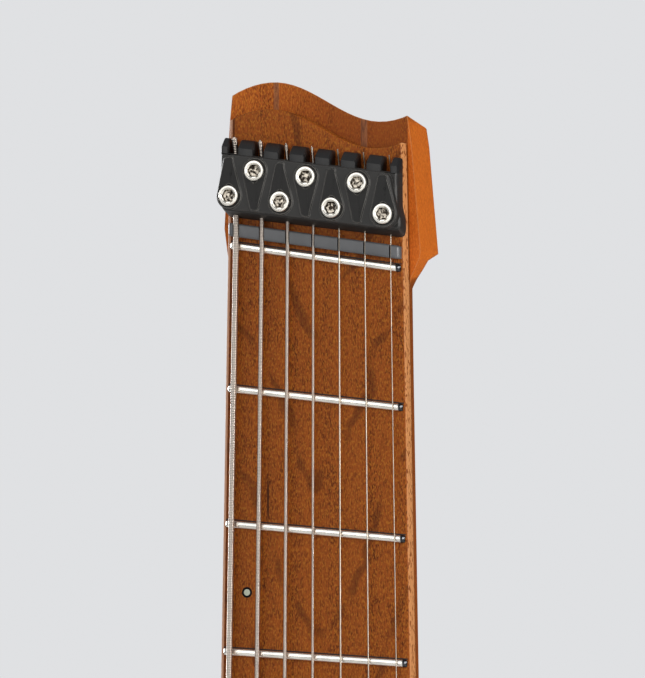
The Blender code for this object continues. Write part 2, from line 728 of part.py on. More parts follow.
def build_bridge_unit(index):
    x, z = unit_place(index)
    base = BODY_FRONT_Y - GAP
    unit = box(f"bridge_unit_{index + 1}", (x - UNIT_HALF, base - UNIT_HEIGHT, z - UNIT_REAR),
               (x + UNIT_HALF, base, z + UNIT_FRONT), BLACK_METAL, GUITAR)
    saddle_top = BOARD_Y - ACTION_AT_SADDLE + string_radius(index) + GAP
    saddle = box(f"saddle_{index + 1}", (x - UNIT_HALF + 0.8 * MM, saddle_top, z - SADDLE_REAR),
                 (x + UNIT_HALF - 0.8 * MM, base - UNIT_HEIGHT + 1 * MM, z + UNIT_FRONT - 0.8 * MM),
                 None, CUTTERS)
    cut(unit, saddle, "UNION")
    half_slot = string_radius(index) + 0.6 * MM
    window = box(f"window_{index + 1}", (x - half_slot, saddle_top - 5 * MM, z - WINDOW_REAR),
                 (x + half_slot, TUNER_Y + 1.4 * MM, z - SADDLE_REAR), None, CUTTERS)
    cut(unit, window)
    bore = rod(f"slide_bore_{index + 1}", (x, TUNER_Y, z - UNIT_REAR + UNIT_WALL),
               (x, TUNER_Y, z - STRING_LEVEL + 3.0 * MM), SLIDE_BORE, None, CUTTERS, sides=16)
    cut(unit, bore)
    hole = rod(f"stud_hole_{index + 1}", (x, TUNER_Y, z - UNIT_REAR - 2 * MM),
               (x, TUNER_Y, z - UNIT_REAR + UNIT_WALL + 1 * MM), STUD_RADIUS + GAP, None,
               CUTTERS, sides=12)
    cut(unit, hole)
    slide = rod(f"tuner_slide_{index + 1}", (x, TUNER_Y, z - SLIDE_FRONT - SLIDE_LENGTH),
                (x, TUNER_Y, z - SLIDE_FRONT), SLIDE_RADIUS, NICKEL, GUITAR, sides=16)
    hollow = rod(f"slide_hole_{index + 1}",
                 (x, TUNER_Y, z - SLIDE_FRONT - SLIDE_LENGTH - 2 * MM),
                 (x, TUNER_Y, z - SLIDE_FRONT + 2 * MM), SLIDE_HOLE, None, CUTTERS, sides=12)
    cut(slide, hollow)
    top = KNOB_LENGTH
    stud = KNOB_LENGTH - (UNIT_REAR - STUD_REACH) - GAP - KNOB_LENGTH
    chamfer = 0.8 * MM
    profile = [(0.0, top), (KNOB_RADIUS - chamfer, top), (KNOB_RADIUS, top - chamfer),
               (KNOB_RADIUS, chamfer), (KNOB_RADIUS - chamfer, 0.0), (STUD_RADIUS, 0.0),
               (STUD_RADIUS, stud), (0.0, stud)]
    turned(f"tuner_knob_{index + 1}", profile, (x, TUNER_Y, z - UNIT_REAR - GAP), (0, 0, -1),
           BLACK_METAL, GUITAR, steps=16)


# Body with its pockets

def grown(points, amount):
    """Push an outline's points out from their middle."""
    middle = Vector((sum(p[0] for p in points), sum(p[1] for p in points))) / len(points)
    moved = []
    for point in points:
        away = (Vector(point) - middle).normalized()
        moved.append(tuple(Vector(point) + away * amount))
    return moved


def pickup_outline(place_z, slope, grow=0.0):
    half_x, half_z = PICKUP_HALF_WIDTH + grow, PICKUP_HALF_HEIGHT + grow
    corners = [(-half_x, -half_z), (half_x, -half_z), (half_x, half_z), (-half_x, half_z)]
    return [(x, place_z + z + slope * x) for x, z in corners]


def build_pickup(name, spot):
    floor = BODY_FRONT_Y - PICKUP_STANDS + PICKUP_DEPTH
    front_outline(name, pickup_outline(*spot), BODY_FRONT_Y - PICKUP_STANDS, floor, PLASTIC,
                  GUITAR, rounding=1.5 * MM)
    return front_outline(f"{name}_cavity", pickup_outline(*spot, grow=2 * GAP),
                         BODY_FRONT_Y - 5 * MM, floor + GAP, None, CUTTERS)


def scaled(points):
    return [(x * MM, z * MM) for x, z in points]


def build_body():
    body = front_outline("body", scaled(BODY_OUTLINE), BODY_FRONT_Y, BODY_BACK_Y, BODY_WOOD,
                         GUITAR, smooth=True, rounding=BODY_ROUNDING, steps=4)
    heel_floor = NECK_FRONT + HEEL_DEPTH + GAP
    low, high = HEEL_END_Z - GAP, HEEL_END_Z + POCKET_LENGTH
    pocket = [(-board_half(low) - GAP, low), (board_half(low) + GAP, low),
              (board_half(high) + GAP, high), (-board_half(high) - GAP, high)]
    cut(body, front_outline("neck_pocket", pocket, BODY_FRONT_Y - 5 * MM, heel_floor, None,
                            CUTTERS))
    wheel_y = NECK_FRONT + TRUSS_DROP
    cut(body, box("wheel_recess", (-7 * MM, BODY_FRONT_Y - 5 * MM, HEEL_END_Z - 11 * MM),
                  (7 * MM, wheel_y + WHEEL_RADIUS + 1 * MM, HEEL_END_Z + 1 * MM), None, CUTTERS))
    cut(body, build_pickup("neck_pickup", NECK_PICKUP))
    cut(body, build_pickup("bridge_pickup", BRIDGE_PICKUP))
    edge = [unit_place(i)[1] - UNIT_REAR - 1 * MM for i in (0, STRING_COUNT - 1)]
    scoop = [(-SCOOP_HALF + 6 * MM, -5 * MM), (SCOOP_HALF - 6 * MM, -5 * MM),
             (SCOOP_HALF, 25 * MM), (SCOOP_HALF - 2 * MM, edge[1]),
             (-SCOOP_HALF + 2 * MM, edge[0]), (-SCOOP_HALF, 20 * MM)]
    cut(body, front_outline("tail_scoop", scoop, BODY_FRONT_Y - 5 * MM,
                            BODY_FRONT_Y + SCOOP_DEPTH, None, CUTTERS))
    cavity = scaled(CONTROL_CAVITY)
    cut(body, front_outline("control_cavity", cavity, BODY_FRONT_Y + CONTROL_TOP,
                            BODY_BACK_Y + 5 * MM, None, CUTTERS))
    lip = grown(cavity, COVER_LIP + GAP)
    cut(body, front_outline("cover_recess", lip, BODY_BACK_Y - COVER_THICKNESS - GAP,
                            BODY_BACK_Y + 5 * MM, None, CUTTERS))
    front_outline("control_cover", grown(cavity, COVER_LIP), BODY_BACK_Y - COVER_THICKNESS,
                  BODY_BACK_Y, PLASTIC, GUITAR)
    holes = [rod(f"hole_{i}", (x, BODY_FRONT_Y - 5 * MM, z), (x, BODY_FRONT_Y + 12 * MM, z),
                 BUSHING_RADIUS + GAP, None, CUTTERS)
             for i, (x, z) in enumerate((VOLUME_AT, TONE_AT, SELECTOR_AT))]
    cut(body, merge("control_holes", holes, CUTTERS))
    mid_y = (BODY_FRONT_Y + BODY_BACK_Y) / 2
    cut(body, rod("jack_seat", (JACK_FACE_X, mid_y, JACK_Z), (JACK_FACE_X + 20 * MM, mid_y, JACK_Z),
                  JACK_FLANGE + GAP, None, CUTTERS, sides=24))
    cut(body, rod("jack_hole", (JACK_FACE_X - JACK_LENGTH - 2 * MM, mid_y, JACK_Z),
                  (JACK_FACE_X + 5 * MM, mid_y, JACK_Z), JACK_BARREL + GAP, None, CUTTERS))
    cut(body, rod("tail_screw_hole", (0, 0, BUTTON_HEIGHT - 5 * MM), (0, 0, BUTTON_HEIGHT + 15 * MM),
                  2.5 * MM, None, CUTTERS, sides=12))
    cut(body, rod("horn_seat", (HORN_BUTTON_X, mid_y, HORN_SEAT_Z),
                  (HORN_BUTTON_X, mid_y, HORN_SEAT_Z + 20 * MM), BUTTON_RADIUS + 1 * MM, None,
                  CUTTERS, sides=24))
    cut(body, rod("horn_screw_hole", (HORN_BUTTON_X, mid_y, HORN_SEAT_Z - 15 * MM),
                  (HORN_BUTTON_X, mid_y, HORN_SEAT_Z + 5 * MM), 2.5 * MM, None, CUTTERS,
                  sides=12))
    return body


def build_button(name, seat, direction):
    height = BUTTON_HEIGHT - GAP
    profile = [(0.0, height), (6.6 * MM, height), (BUTTON_RADIUS, height - 1.2 * MM),
               (BUTTON_RADIUS, height - 2.6 * MM), (4.2 * MM, height - 5.0 * MM),
               (4.2 * MM, 2.6 * MM), (6.8 * MM, 1.0 * MM), (6.8 * MM, 0.0), (2.2 * MM, 0.0),
               (2.2 * MM, -14.0 * MM), (0.0, -14.0 * MM)]
    turned(name, profile, seat, direction, BLACK_METAL, GUITAR)


def build_neck_bolts(neck, body):
    holes = []
    places = [(side * BOLT_X, HEEL_END_Z + up) for up in BOLT_UP for side in (-1, 1)]
    tip = NECK_FRONT + 9 * MM
    for index, (x, z) in enumerate(places):
        length = BODY_BACK_Y - tip
        head = 3.6 * MM
        profile = [(0.0, length), (BOLT_HEAD, length), (BOLT_HEAD, length - head),
                   (BOLT_RADIUS, length - head), (BOLT_RADIUS, 0.0), (0.0, 0.0)]
        bolt = turned(f"neck_bolt_{index + 1}", profile, (x, tip, z), (0, 1, 0), NICKEL,
                      GUITAR, steps=16)
        cut(bolt, rod(f"bolt_socket_{index + 1}", (x, BODY_BACK_Y - 2 * MM, z),
                      (x, BODY_BACK_Y + 2 * MM, z), 2.3 * MM, None, CUTTERS, sides=6))
        holes.append(rod(f"bolt_hole_{index}", (x, tip - 1 * MM, z), (x, BODY_BACK_Y + 5 * MM, z),
                         BOLT_RADIUS + GAP, None, CUTTERS, sides=12))
        cut(body, rod(f"bolt_seat_{index}", (x, BODY_BACK_Y - head - GAP, z),
                      (x, BODY_BACK_Y + 5 * MM, z), BOLT_HEAD + GAP, None, CUTTERS))
    drill = merge("bolt_holes", holes, CUTTERS)
    cut(body, drill)
    cut(neck, drill)


# Controls on the body

def build_pot(name, knob_name, spot):
    x, z = spot
    ceiling = BODY_FRONT_Y + CONTROL_TOP + GAP
    collar = BODY_FRONT_Y - 1.5 * MM
    length = ceiling + POT_LENGTH - collar
    bottom = ceiling + POT_LENGTH
    floor = 1.5 * MM
    profile = [(0.0, floor), (SHAFT_RADIUS + GAP, floor), (SHAFT_RADIUS + GAP, length),
               (BUSHING_RADIUS, length), (BUSHING_RADIUS, POT_LENGTH), (POT_RADIUS, POT_LENGTH),
               (POT_RADIUS, 0.0), (0.0, 0.0)]
    turned(name, profile, (x, bottom, z), (0, -1, 0), NICKEL, GUITAR, steps=20)
    base = collar - GAP
    reach = base - (bottom - floor - GAP)
    top = CONTROL_KNOB_HEIGHT
    knob = [(0.0, top), (CONTROL_KNOB_RADIUS - 1.5 * MM, top),
            (CONTROL_KNOB_RADIUS - 0.5 * MM, top - 1 * MM), (CONTROL_KNOB_RADIUS, 0.0),
            (SHAFT_RADIUS, 0.0), (SHAFT_RADIUS, reach), (0.0, reach)]
    turned(knob_name, knob, (x, base, z), (0, -1, 0), BLACK_METAL, GUITAR)


def build_selector():
    x, z = SELECTOR_AT
    ceiling = BODY_FRONT_Y + CONTROL_TOP + GAP
    collar = BODY_FRONT_Y - 1.5 * MM
    switch = box("selector_switch", (x - 8 * MM, ceiling, z - 12 * MM),
                 (x + 8 * MM, ceiling + 16 * MM, z + 12 * MM), PLASTIC, GUITAR)
    cut(switch, rod("switch_bushing", (x, collar, z), (x, ceiling + 1 * MM, z), BUSHING_RADIUS,
                    None, CUTTERS), "UNION")
    pivot_y = BODY_FRONT_Y + 3 * MM
    cut(switch, rod("lever_bore", (x, collar - 2 * MM, z), (x, pivot_y + 8 * MM, z), LEVER_BORE,
                    None, CUTTERS))
    tip = 3.2 * MM
    reach = pivot_y - BODY_FRONT_Y + LEVER_TIP
    ball = LEVER_BORE - GAP
    profile = [(0.0, reach)]
    for i in range(1, 6):
        angle = math.pi * i / 7
        profile.append((tip * math.sin(angle), reach - tip + tip * math.cos(angle)))
    profile += [(LEVER_RADIUS, reach - 1.9 * tip), (LEVER_RADIUS, ball * 0.8)]
    for i in range(3):
        angle = math.radians(60 + 30 * i)
        profile.append((ball * math.sin(angle), ball * math.cos(angle)))
    profile += [(LEVER_RADIUS, -ball * 0.8), (LEVER_RADIUS, -5.5 * MM), (0.0, -5.5 * MM)]
    turned("selector_lever", profile, (x, pivot_y, z), (0, -1, 0), BLACK_METAL, GUITAR, steps=16)


def build_jack():
    mid_y = (BODY_FRONT_Y + BODY_BACK_Y) / 2
    top = JACK_LENGTH + 2.5 * MM
    profile = [(0.0, 3.0 * MM), (JACK_BORE, 3.0 * MM), (JACK_BORE, top), (JACK_FLANGE, top),
               (JACK_FLANGE, JACK_LENGTH), (JACK_BARREL, JACK_LENGTH), (JACK_BARREL, 0.0),
               (0.0, 0.0)]
    turned("output_jack", profile, (JACK_FACE_X + GAP - JACK_LENGTH, mid_y, JACK_Z), (1, 0, 0),
           BLACK_METAL, GUITAR)


def build_truss_wheel():
    wheel_y = NECK_FRONT + TRUSS_DROP
    top = HEEL_END_Z - 1 * MM
    profile = [(0.0, 2 * MM - GAP), (1.6 * MM, 2 * MM - GAP), (1.6 * MM, 0.0),
               (WHEEL_RADIUS, 0.0), (WHEEL_RADIUS, -WHEEL_LENGTH), (0.0, -WHEEL_LENGTH)]
    wheel = turned("truss_rod_wheel", profile, (0, wheel_y, top), (0, 0, 1), STEEL, GUITAR,
                   steps=16)
    middle = top - WHEEL_LENGTH / 2
    cut(wheel, rod("spoke_hole", (0, wheel_y - 8 * MM, middle), (0, wheel_y + 8 * MM, middle),
                   1.1 * MM, None, CUTTERS, sides=10))


for string in range(STRING_COUNT):
    build_string(string)
    build_bridge_unit(string)
body_part = build_body()
build_neck_bolts(bpy.data.objects["neck"], body_part)
build_button("strap_button_tail", (0, 0, BUTTON_HEIGHT - GAP), (0, 0, -1))
build_button("strap_button_horn",
             (HORN_BUTTON_X, (BODY_FRONT_Y + BODY_BACK_Y) / 2, HORN_SEAT_Z + GAP), (0, 0, 1))
build_pot("volume_pot", "volume_knob", VOLUME_AT)
build_pot("tone_pot", "tone_knob", TONE_AT)
build_selector()
build_jack()
build_truss_wheel()
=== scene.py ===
# %% [markdown]
# # A headless seven-string guitar, dressed for its portrait
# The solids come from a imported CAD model, which stays as it is. This lesson dresses them: it gives
# every surface its finish, and builds the fine forms that a solid model leaves out, such as knurled
# knobs and screw sockets. The neck points up. Forms are drawn in millimetres and handed over in metres.

# %% Load the frame
import math

import bmesh
import bpy
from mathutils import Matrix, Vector


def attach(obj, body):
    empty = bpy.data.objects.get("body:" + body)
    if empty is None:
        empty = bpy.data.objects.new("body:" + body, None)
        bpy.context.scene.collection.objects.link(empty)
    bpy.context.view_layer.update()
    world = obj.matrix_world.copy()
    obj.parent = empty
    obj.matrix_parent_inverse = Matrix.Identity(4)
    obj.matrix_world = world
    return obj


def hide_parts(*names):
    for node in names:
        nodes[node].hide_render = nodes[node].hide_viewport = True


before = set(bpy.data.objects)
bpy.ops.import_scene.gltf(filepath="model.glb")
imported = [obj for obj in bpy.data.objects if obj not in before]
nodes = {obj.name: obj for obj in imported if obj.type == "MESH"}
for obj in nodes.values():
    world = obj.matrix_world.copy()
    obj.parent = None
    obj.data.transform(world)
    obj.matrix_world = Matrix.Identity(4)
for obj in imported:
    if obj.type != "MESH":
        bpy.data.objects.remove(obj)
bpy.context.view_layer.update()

# %% [markdown]
# The playing geometry decides where nearly every small piece sits. The frets fan out, so each one
# has its own slope: it joins a point on a longer bass scale to one on a shorter treble scale.

# %% Playing geometry
MM = 0.001
STRINGS, WOUND, FRETS, SQUARE_FRET = 7, 4, 24, 7
BASS_SCALE, TREBLE_SCALE = 666.75, 647.7
NUT_SPREAD, BRIDGE_SPREAD = 42.4, 63.0
GAUGES = [1.50, 1.17, 0.91, 0.66, 0.43, 0.33, 0.25]
BASS_SADDLE_Z = 95.0
BOARD_Y, BODY_FRONT, BODY_BACK = -37.0, -29.0, 13.0
BOARD_HALF, BOARD_TAPER = 24.3, 0.0172


def share_of(index):
    """-0.5 for the lowest string, 0.5 for the highest."""
    return index / (STRINGS - 1) - 0.5


def saddle_z(share):
    lead = (BASS_SCALE - TREBLE_SCALE) * 2 ** (-SQUARE_FRET / 12)
    return BASS_SADDLE_Z + lead * (share + 0.5)


def fret_z(share, fret):
    scale = BASS_SCALE + (TREBLE_SCALE - BASS_SCALE) * (share + 0.5)
    return saddle_z(share) + scale * 2 ** (-fret / 12)


ZERO_Z = fret_z(0.0, 0)


def board_half(z):
    return BOARD_HALF + BOARD_TAPER * (ZERO_Z - z)


def half_spread(z):
    """Half the string spread at a height."""
    up = (z - saddle_z(0.0)) / (ZERO_Z - saddle_z(0.0))
    return 0.5 * (BRIDGE_SPREAD + (NUT_SPREAD - BRIDGE_SPREAD) * up)


def fret_end(side, fret, inset=0.0):
    """Where a fret's line meets the board's edge: side -1 is the bass edge, 1 the treble edge."""
    share = side * 0.5
    for _ in range(8):
        z = fret_z(share, fret)
        share = side * (board_half(z) - inset) / (2 * half_spread(z))
    return side * (board_half(z) - inset), z


print("zero fret at z mm:", round(ZERO_Z, 2))

# %% [markdown]
# The camera comes first, because everything else is matched to the photograph. The picture is a
# close portrait of the neck's head end, taken from far away with a long lens, a little to the treble
# side and a little below. A long lens far off keeps the strings nearly parallel, as there.

# %% Camera
AZIMUTH, ELEVATION, DISTANCE = math.radians(18.7), math.radians(-3.1), 3000.0
FRAME_HEIGHT, AIM_RIGHT, AIM_DOWN, SENSOR = 177.0, 1.906, 21.41, 36.0
toward = Vector((math.sin(AZIMUTH) * math.cos(ELEVATION),
                 -math.cos(AZIMUTH) * math.cos(ELEVATION), math.sin(ELEVATION)))
rightward = Vector((math.cos(AZIMUTH), math.sin(AZIMUTH), 0.0))
upward = toward.cross(rightward)
aim = Vector((0.0, BOARD_Y, ZERO_Z)) + AIM_RIGHT * rightward - AIM_DOWN * upward
camera_data = bpy.data.cameras.new("portrait_camera")
camera_data.sensor_width = SENSOR
camera_data.lens = SENSOR * DISTANCE / FRAME_HEIGHT
camera_data.clip_end = 60.0


def stand(name, data):
    """Puts a camera, a lamp or a mesh into the scene as an object."""
    item = bpy.data.objects.new(name, data)
    bpy.context.scene.collection.objects.link(item)
    item.rotation_mode = "QUATERNION"
    return item


camera = stand("portrait_camera", camera_data)
camera.location = (aim + DISTANCE * toward) * MM
camera.rotation_quaternion = toward.to_track_quat("Z", "Y")
bpy.context.scene.camera = camera
print("lens mm:", round(camera_data.lens), "up:", [round(v, 3) for v in upward])

# %% [markdown]
# Light and finishes are both node trees: small boxes wired together, each doing one sum. Short words
# for the boxes come first, so that what follows reads like plain arithmetic.

# %% Short words for node trees
class Value:
    """An output in a node tree. Arithmetic on it adds the nodes that do the sum."""

    def __init__(self, socket):
        self.socket, self.tree = socket, socket.id_data

    def math(self, operation, first, second=0.0):
        return put(self.tree, "Math", {0: first, 1: second}, operation=operation)

    def __add__(self, other):
        return self.math("ADD", self, other)

    def __sub__(self, other):
        return self.math("SUBTRACT", self, other)

    def __rsub__(self, other):
        return self.math("SUBTRACT", other, self)

    def __mul__(self, other):
        return self.math("MULTIPLY", self, other)

    def held(self):
        """Kept from 0 to 1."""
        return put(self.tree, "Clamp", {"Value": self})

    def ramp(self, low, high, to_low=0.0, to_high=1.0, curve="SMOOTHSTEP"):
        """Low to high becomes to_low to to_high, and is held at the ends."""
        return put(self.tree, "MapRange", {"Value": self, "From Min": low, "From Max": high,
                                           "To Min": to_low, "To Max": to_high},
                   interpolation_type=curve)

    def between(self, low, high, soft=0.12):
        """1 from low to high, with soft borders."""
        return self.ramp(low - soft, low + soft) * self.ramp(high - soft, high + soft, 1.0, 0.0)


def feed(node, values):
    """Feeds a node's sockets: a link for a Value, else a plain number, vector or colour."""
    for key, value in values.items():
        socket = node.inputs[key]
        if isinstance(value, Value):
            node.id_data.links.new(value.socket, socket)
        else:
            socket.default_value = (*value, 1.0) if socket.type == "RGBA" else value


def put(tree, kind, values, output=0, **settings):
    """Adds a node, sets its options, feeds it, and gives one of its outputs."""
    node = tree.nodes.new("ShaderNode" + kind)
    for key, value in settings.items():
        setattr(node, key, value)
    feed(node, values)
    return Value(node.outputs[output])


def mix(factor, first, second, blend="MIX"):
    """The first colour, blended into the second as far as the factor says."""
    tree = next(v.tree for v in (factor, first) if isinstance(v, Value))
    return put(tree, "Mix", {0: factor, 6: first, 7: second}, 2, data_type="RGBA", blend_type=blend)


def mapped(vector, scale, shift=(0, 0, 0), turn=(0, 0, 0)):
    return put(vector.tree, "Mapping", {"Vector": vector, "Location": shift, "Rotation": turn,
                                        "Scale": scale})


def noise(vector, size=None, detail=2.0, rough=0.5, twist=0.0, shift=(0, 0, 0)):
    """Noise of this size in millimetres along each axis, or of size 1 where none is given."""
    if size:
        vector = mapped(vector, [1.0 / s for s in size], shift)
    return put(vector.tree, "TexNoise", {"Vector": vector, "Scale": 1.0, "Detail": detail,
                                         "Roughness": rough, "Distortion": twist})


def split(vector):
    return [put(vector.tree, "SeparateXYZ", {0: vector}, i) for i in range(3)]


def new_group(name, inputs, outputs):
    """A shader node group: inputs are (name, kind, value), outputs (name, kind)."""
    group = bpy.data.node_groups.new(name, "ShaderNodeTree")
    for label, kind, value in inputs:
        socket = group.interface.new_socket(label, in_out="INPUT", socket_type="NodeSocket" + kind)
        if value is not None:
            socket.default_value = value
    for label, kind in outputs:
        group.interface.new_socket(label, in_out="OUTPUT", socket_type="NodeSocket" + kind)
    taken = group.nodes.new("NodeGroupInput").outputs
    return group, {item[0]: Value(taken[item[0]]) for item in inputs}, group.nodes.new("NodeGroupOutput")


def use(tree, group, values):
    """Puts a group into a tree and gives its outputs by name."""
    node = tree.nodes.new("ShaderNodeGroup")
    node.node_tree = group
    feed(node, values)
    return {socket.name: Value(socket) for socket in node.outputs}


def new_material(name, metallic=0.0, specular=0.5):
    """A material, its shader, and the place on the piece in millimetres."""
    made = bpy.data.materials.new(name)
    made.use_nodes = True
    shader = made.node_tree.nodes["Principled BSDF"]
    feed(shader, {"Metallic": metallic, "Specular IOR Level": specular})
    place = put(made.node_tree, "TexCoord", {}, "Object")
    return made, shader, mapped(place, (1 / MM, 1 / MM, 1 / MM))


def bumped(shader, height, strength, distance):
    feed(shader, {"Normal": put(shader.id_data, "Bump", {
        "Height": height, "Strength": strength, "Distance": distance * MM})})


print("short words ready")

# %% [markdown]
# A studio table and soft light. The floor is a plain pale disc under the tail button, and the world
# is a pale dome, brighter towards the upper left front and dim low on the right, so that bright metal
# has something bright and something dark to mirror. Two large lamps in front give soft
# shadows, one on the right lights the neck's wing, and one behind on the left draws thin bright
# lines along the left edges, as in the photograph.

# %% Floor, world and lamps
FLOOR_RADIUS, MIDDLE, BRIGHT_SIDE, DOME_SEEN = 2.2, Vector((0.0, 0.0, 0.55)), (0.42, 0.62, -0.66), 0.80
floor_mesh = bpy.data.meshes.new("studio_floor")
floor_form = bmesh.new()
bmesh.ops.create_circle(floor_form, cap_ends=True, segments=96, radius=FLOOR_RADIUS)
floor_form.to_mesh(floor_mesh)
floor_form.free()
floor_paint, shader, _ = new_material("floor_paint")
feed(shader, {"Base Color": (0.80, 0.79, 0.77), "Roughness": 0.8})
floor_mesh.materials.append(floor_paint)
floor = stand("studio_floor", floor_mesh)

world = bpy.data.worlds.new("studio_dome")
world.use_nodes = True
dome = world.node_tree
facing = put(dome, "VectorMath", {0: put(dome, "TexCoord", {}, "Generated"), 1: BRIGHT_SIDE}, "Value",
             operation="DOT_PRODUCT")
camera_sees = put(dome, "LightPath", {}, "Is Camera Ray")
strength = put(dome, "Mix", {0: camera_sees, 2: facing.ramp(0.35, -1.0, 0.05, 0.42), 3: DOME_SEEN})
feed(dome.nodes["Background"], {"Color": (0.93, 0.94, 0.96), "Strength": strength})
bpy.context.scene.world = world
bpy.context.scene.view_settings.view_transform = "Standard"

for name, place, size, power, colour in (
        ("key_lamp", (-1.25, -2.7, 1.95), 3.2, 27.0, (1.0, 0.985, 0.96)),
        ("front_lamp", (0.5, -3.0, 0.9), 2.8, 17.0, (1.0, 0.985, 0.96)),
        ("wing_lamp", (2.4, -0.8, 1.1), 1.2, 52.0, (1.0, 0.98, 0.96)),
        ("back_lamp", (-2.1, 1.45, 1.15), 1.1, 38.0, (0.97, 0.98, 1.0))):
    data = bpy.data.lights.new(name, "AREA")
    data.shape, data.size, data.energy, data.color = "DISK", size, power, colour
    lamp = stand(name, data)
    lamp.location = place
    lamp.rotation_quaternion = (Vector(place) - MIDDLE).to_track_quat("Z", "Y")

# %% [markdown]
# Now the finishes. Wood shows grain because it was cut through a growing trunk: long fibres, soft
# clouds of darker and lighter growth, short dark pores, and in maple small flecks that glint. Each of
# these is a noise stretched along the grain at its own scale.
#
# Several pieces are cut from the same roasted maple, so the wood is one node group that each material
# sets for itself. It works in the guitar's own coordinates, so the grain runs up the neck and matches
# where pieces meet. Clouds give the broad darker patches, bands the growth rings that a flat cut
# turns into long arches, silk and gold the short glinting dashes, and pores the dark dots.

# %% Maple group
maple, take, give = new_group(
    "maple_figure",
    [("Vector", "Vector", None), ("Light", "Color", (0.40, 0.17, 0.05, 1)),
     ("Dark", "Color", (0.15, 0.05, 0.015, 1)), ("Clouds", "Float", 0.5), ("Flecks", "Float", 0.5),
     ("Pores", "Float", 0.5)],
    [("Color", "Color"), ("Height", "Float"), ("Roughness", "Float")])
where = take["Vector"]
clouds = noise(where, (7, 7, 21), 3.0, 0.55, 0.9)
bands = put(maple, "TexWave", {"Vector": mapped(where, (1 / 30, 1 / 30, 1 / 90)), "Scale": 1.0,
                               "Distortion": 7.0, "Detail": 2.0, "Detail Scale": 0.8}, 1,
            bands_direction="X")
silk = noise(where, (0.30, 0.30, 1.05), 1.0, 0.5, 0.3)
glint = noise(where, (2.6, 2.6, 0.8), 2.0, 0.6, shift=(3, 5, 7))
fibre = noise(where, (0.16, 0.16, 6))
gold = noise(where, (0.33, 0.33, 0.85), 1.0, shift=(6, 1, 8))
pores = noise(where, (0.34, 0.34, 1.3), 0.0, shift=(9, 2, 4))
dark = (clouds.ramp(0.40, 0.80) * take["Clouds"] + bands.ramp(0.55, 0.98) * 0.22).held()
dark = dark - silk.ramp(0.30, 0.70, -0.5, 0.5) * take["Flecks"]
dark = dark - glint.ramp(0.52, 0.72) * 0.30 + fibre.ramp(0.3, 0.7, -0.5, 0.5) * 0.22
wood = mix(dark.held(), take["Light"], take["Dark"])
gold_wood = mix(1.0, take["Light"], (1.38, 1.95, 1.7), "MULTIPLY")
wood = mix(gold.ramp(0.50, 0.64) * (take["Flecks"] * 0.68), wood, gold_wood)
pore_mask = pores.ramp(0.74, 0.80) * take["Pores"]
wood = mix(pore_mask, wood, (0.045, 0.014, 0.006))
feed(give, {"Color": wood, "Height": fibre * 0.5 - pore_mask,
            "Roughness": fibre.ramp(0.2, 0.8, 0.36, 0.52)})
print("maple group nodes:", len(maple.nodes))

# %% [markdown]
# Edges tell whether a thing was handled by a maker: they are slightly worn or polished, and catch
# the light. This group finds them by comparing a rounded normal with the plain one, so a material
# can lighten or darken a thin line there without an image texture: on wood the line is a painted
# highlight, and on metal and plastic it is partly wear and partly painted highlight.

# %% Edge group
edges, take, give = new_group(
    "edge_line", [("Width", "Float", 0.4), ("Amount", "Float", 1.0)], [("Mask", "Float")])
rounded = put(edges, "Bevel", {"Radius": take["Width"] * MM}, samples=4)
plain = put(edges, "NewGeometry", {}, "Normal")
alike = put(edges, "VectorMath", {0: rounded, 1: plain}, "Value", operation="DOT_PRODUCT")
feed(give, {"Mask": alike.ramp(0.995, 0.90) * take["Amount"]})
print("edge group nodes:", len(edges.nodes))

# %% [markdown]
# Smooth metal and moulded plastic are never perfectly even either. Fine grain breaks up the gloss,
# and smudges from handling make some places a little duller than others.

# %% Surface group
surface, take, give = new_group(
    "fine_surface", [("Vector", "Vector", None), ("Grain", "Float", 0.05),
                     ("Low", "Float", 0.3), ("High", "Float", 0.5)],
    [("Height", "Float"), ("Roughness", "Float"), ("Smudge", "Float")])
grain_size = put(surface, "CombineXYZ", {i: take["Grain"] for i in range(3)})
grain = noise(put(surface, "VectorMath", {0: take["Vector"], 1: grain_size}, operation="DIVIDE"),
              None, 2.0, 0.6)
smudge = noise(take["Vector"], (9, 9, 14), 4.0, 0.6, 0.6)
gloss = (grain * 0.5 + smudge * 0.5).ramp(0.3, 0.7, take["Low"], take["High"], "LINEAR")
feed(give, {"Height": grain, "Smudge": smudge, "Roughness": gloss})
print("surface group nodes:", len(surface.nodes))

# %% [markdown]
# Roasted maple has been baked until it turns from cream to amber brown. The neck is glued up with
# two thin strips of darker wood that run its whole length, so their place is a test on x alone. The
# fingerboard is a separate, more figured piece: its growth rings were cut nearly flat, which leaves
# soft dark arches pointing down the neck.

# %% Wood of the neck
STRIPS = [(-13.0, -11.5), (11.1, 12.9)]
WING_LOW, WING_FULL = ZERO_Z - 20, ZERO_Z - 6


def figure(place, light, dark, clouds, flecks, pores):
    return use(place.tree, maple, {"Vector": place, "Light": light, "Dark": dark, "Clouds": clouds,
                                   "Flecks": flecks, "Pores": pores})


def wooden(shader, colour, grain, edge_highlight, edge_line_amount=0.65):
    """Gives a shader its wood colour, with a painted highlight: a pale line along the sharp edges."""
    line = use(shader.id_data, edges, {"Width": 0.35, "Amount": edge_line_amount})["Mask"]
    feed(shader, {"Base Color": mix(line, colour, edge_highlight), "Roughness": grain["Roughness"]})
    bumped(shader, grain["Height"], 0.35, 0.05)


def edge_at(z):
    """Half the width of the fingerboard at a height."""
    return (ZERO_Z - z) * BOARD_TAPER + BOARD_HALF


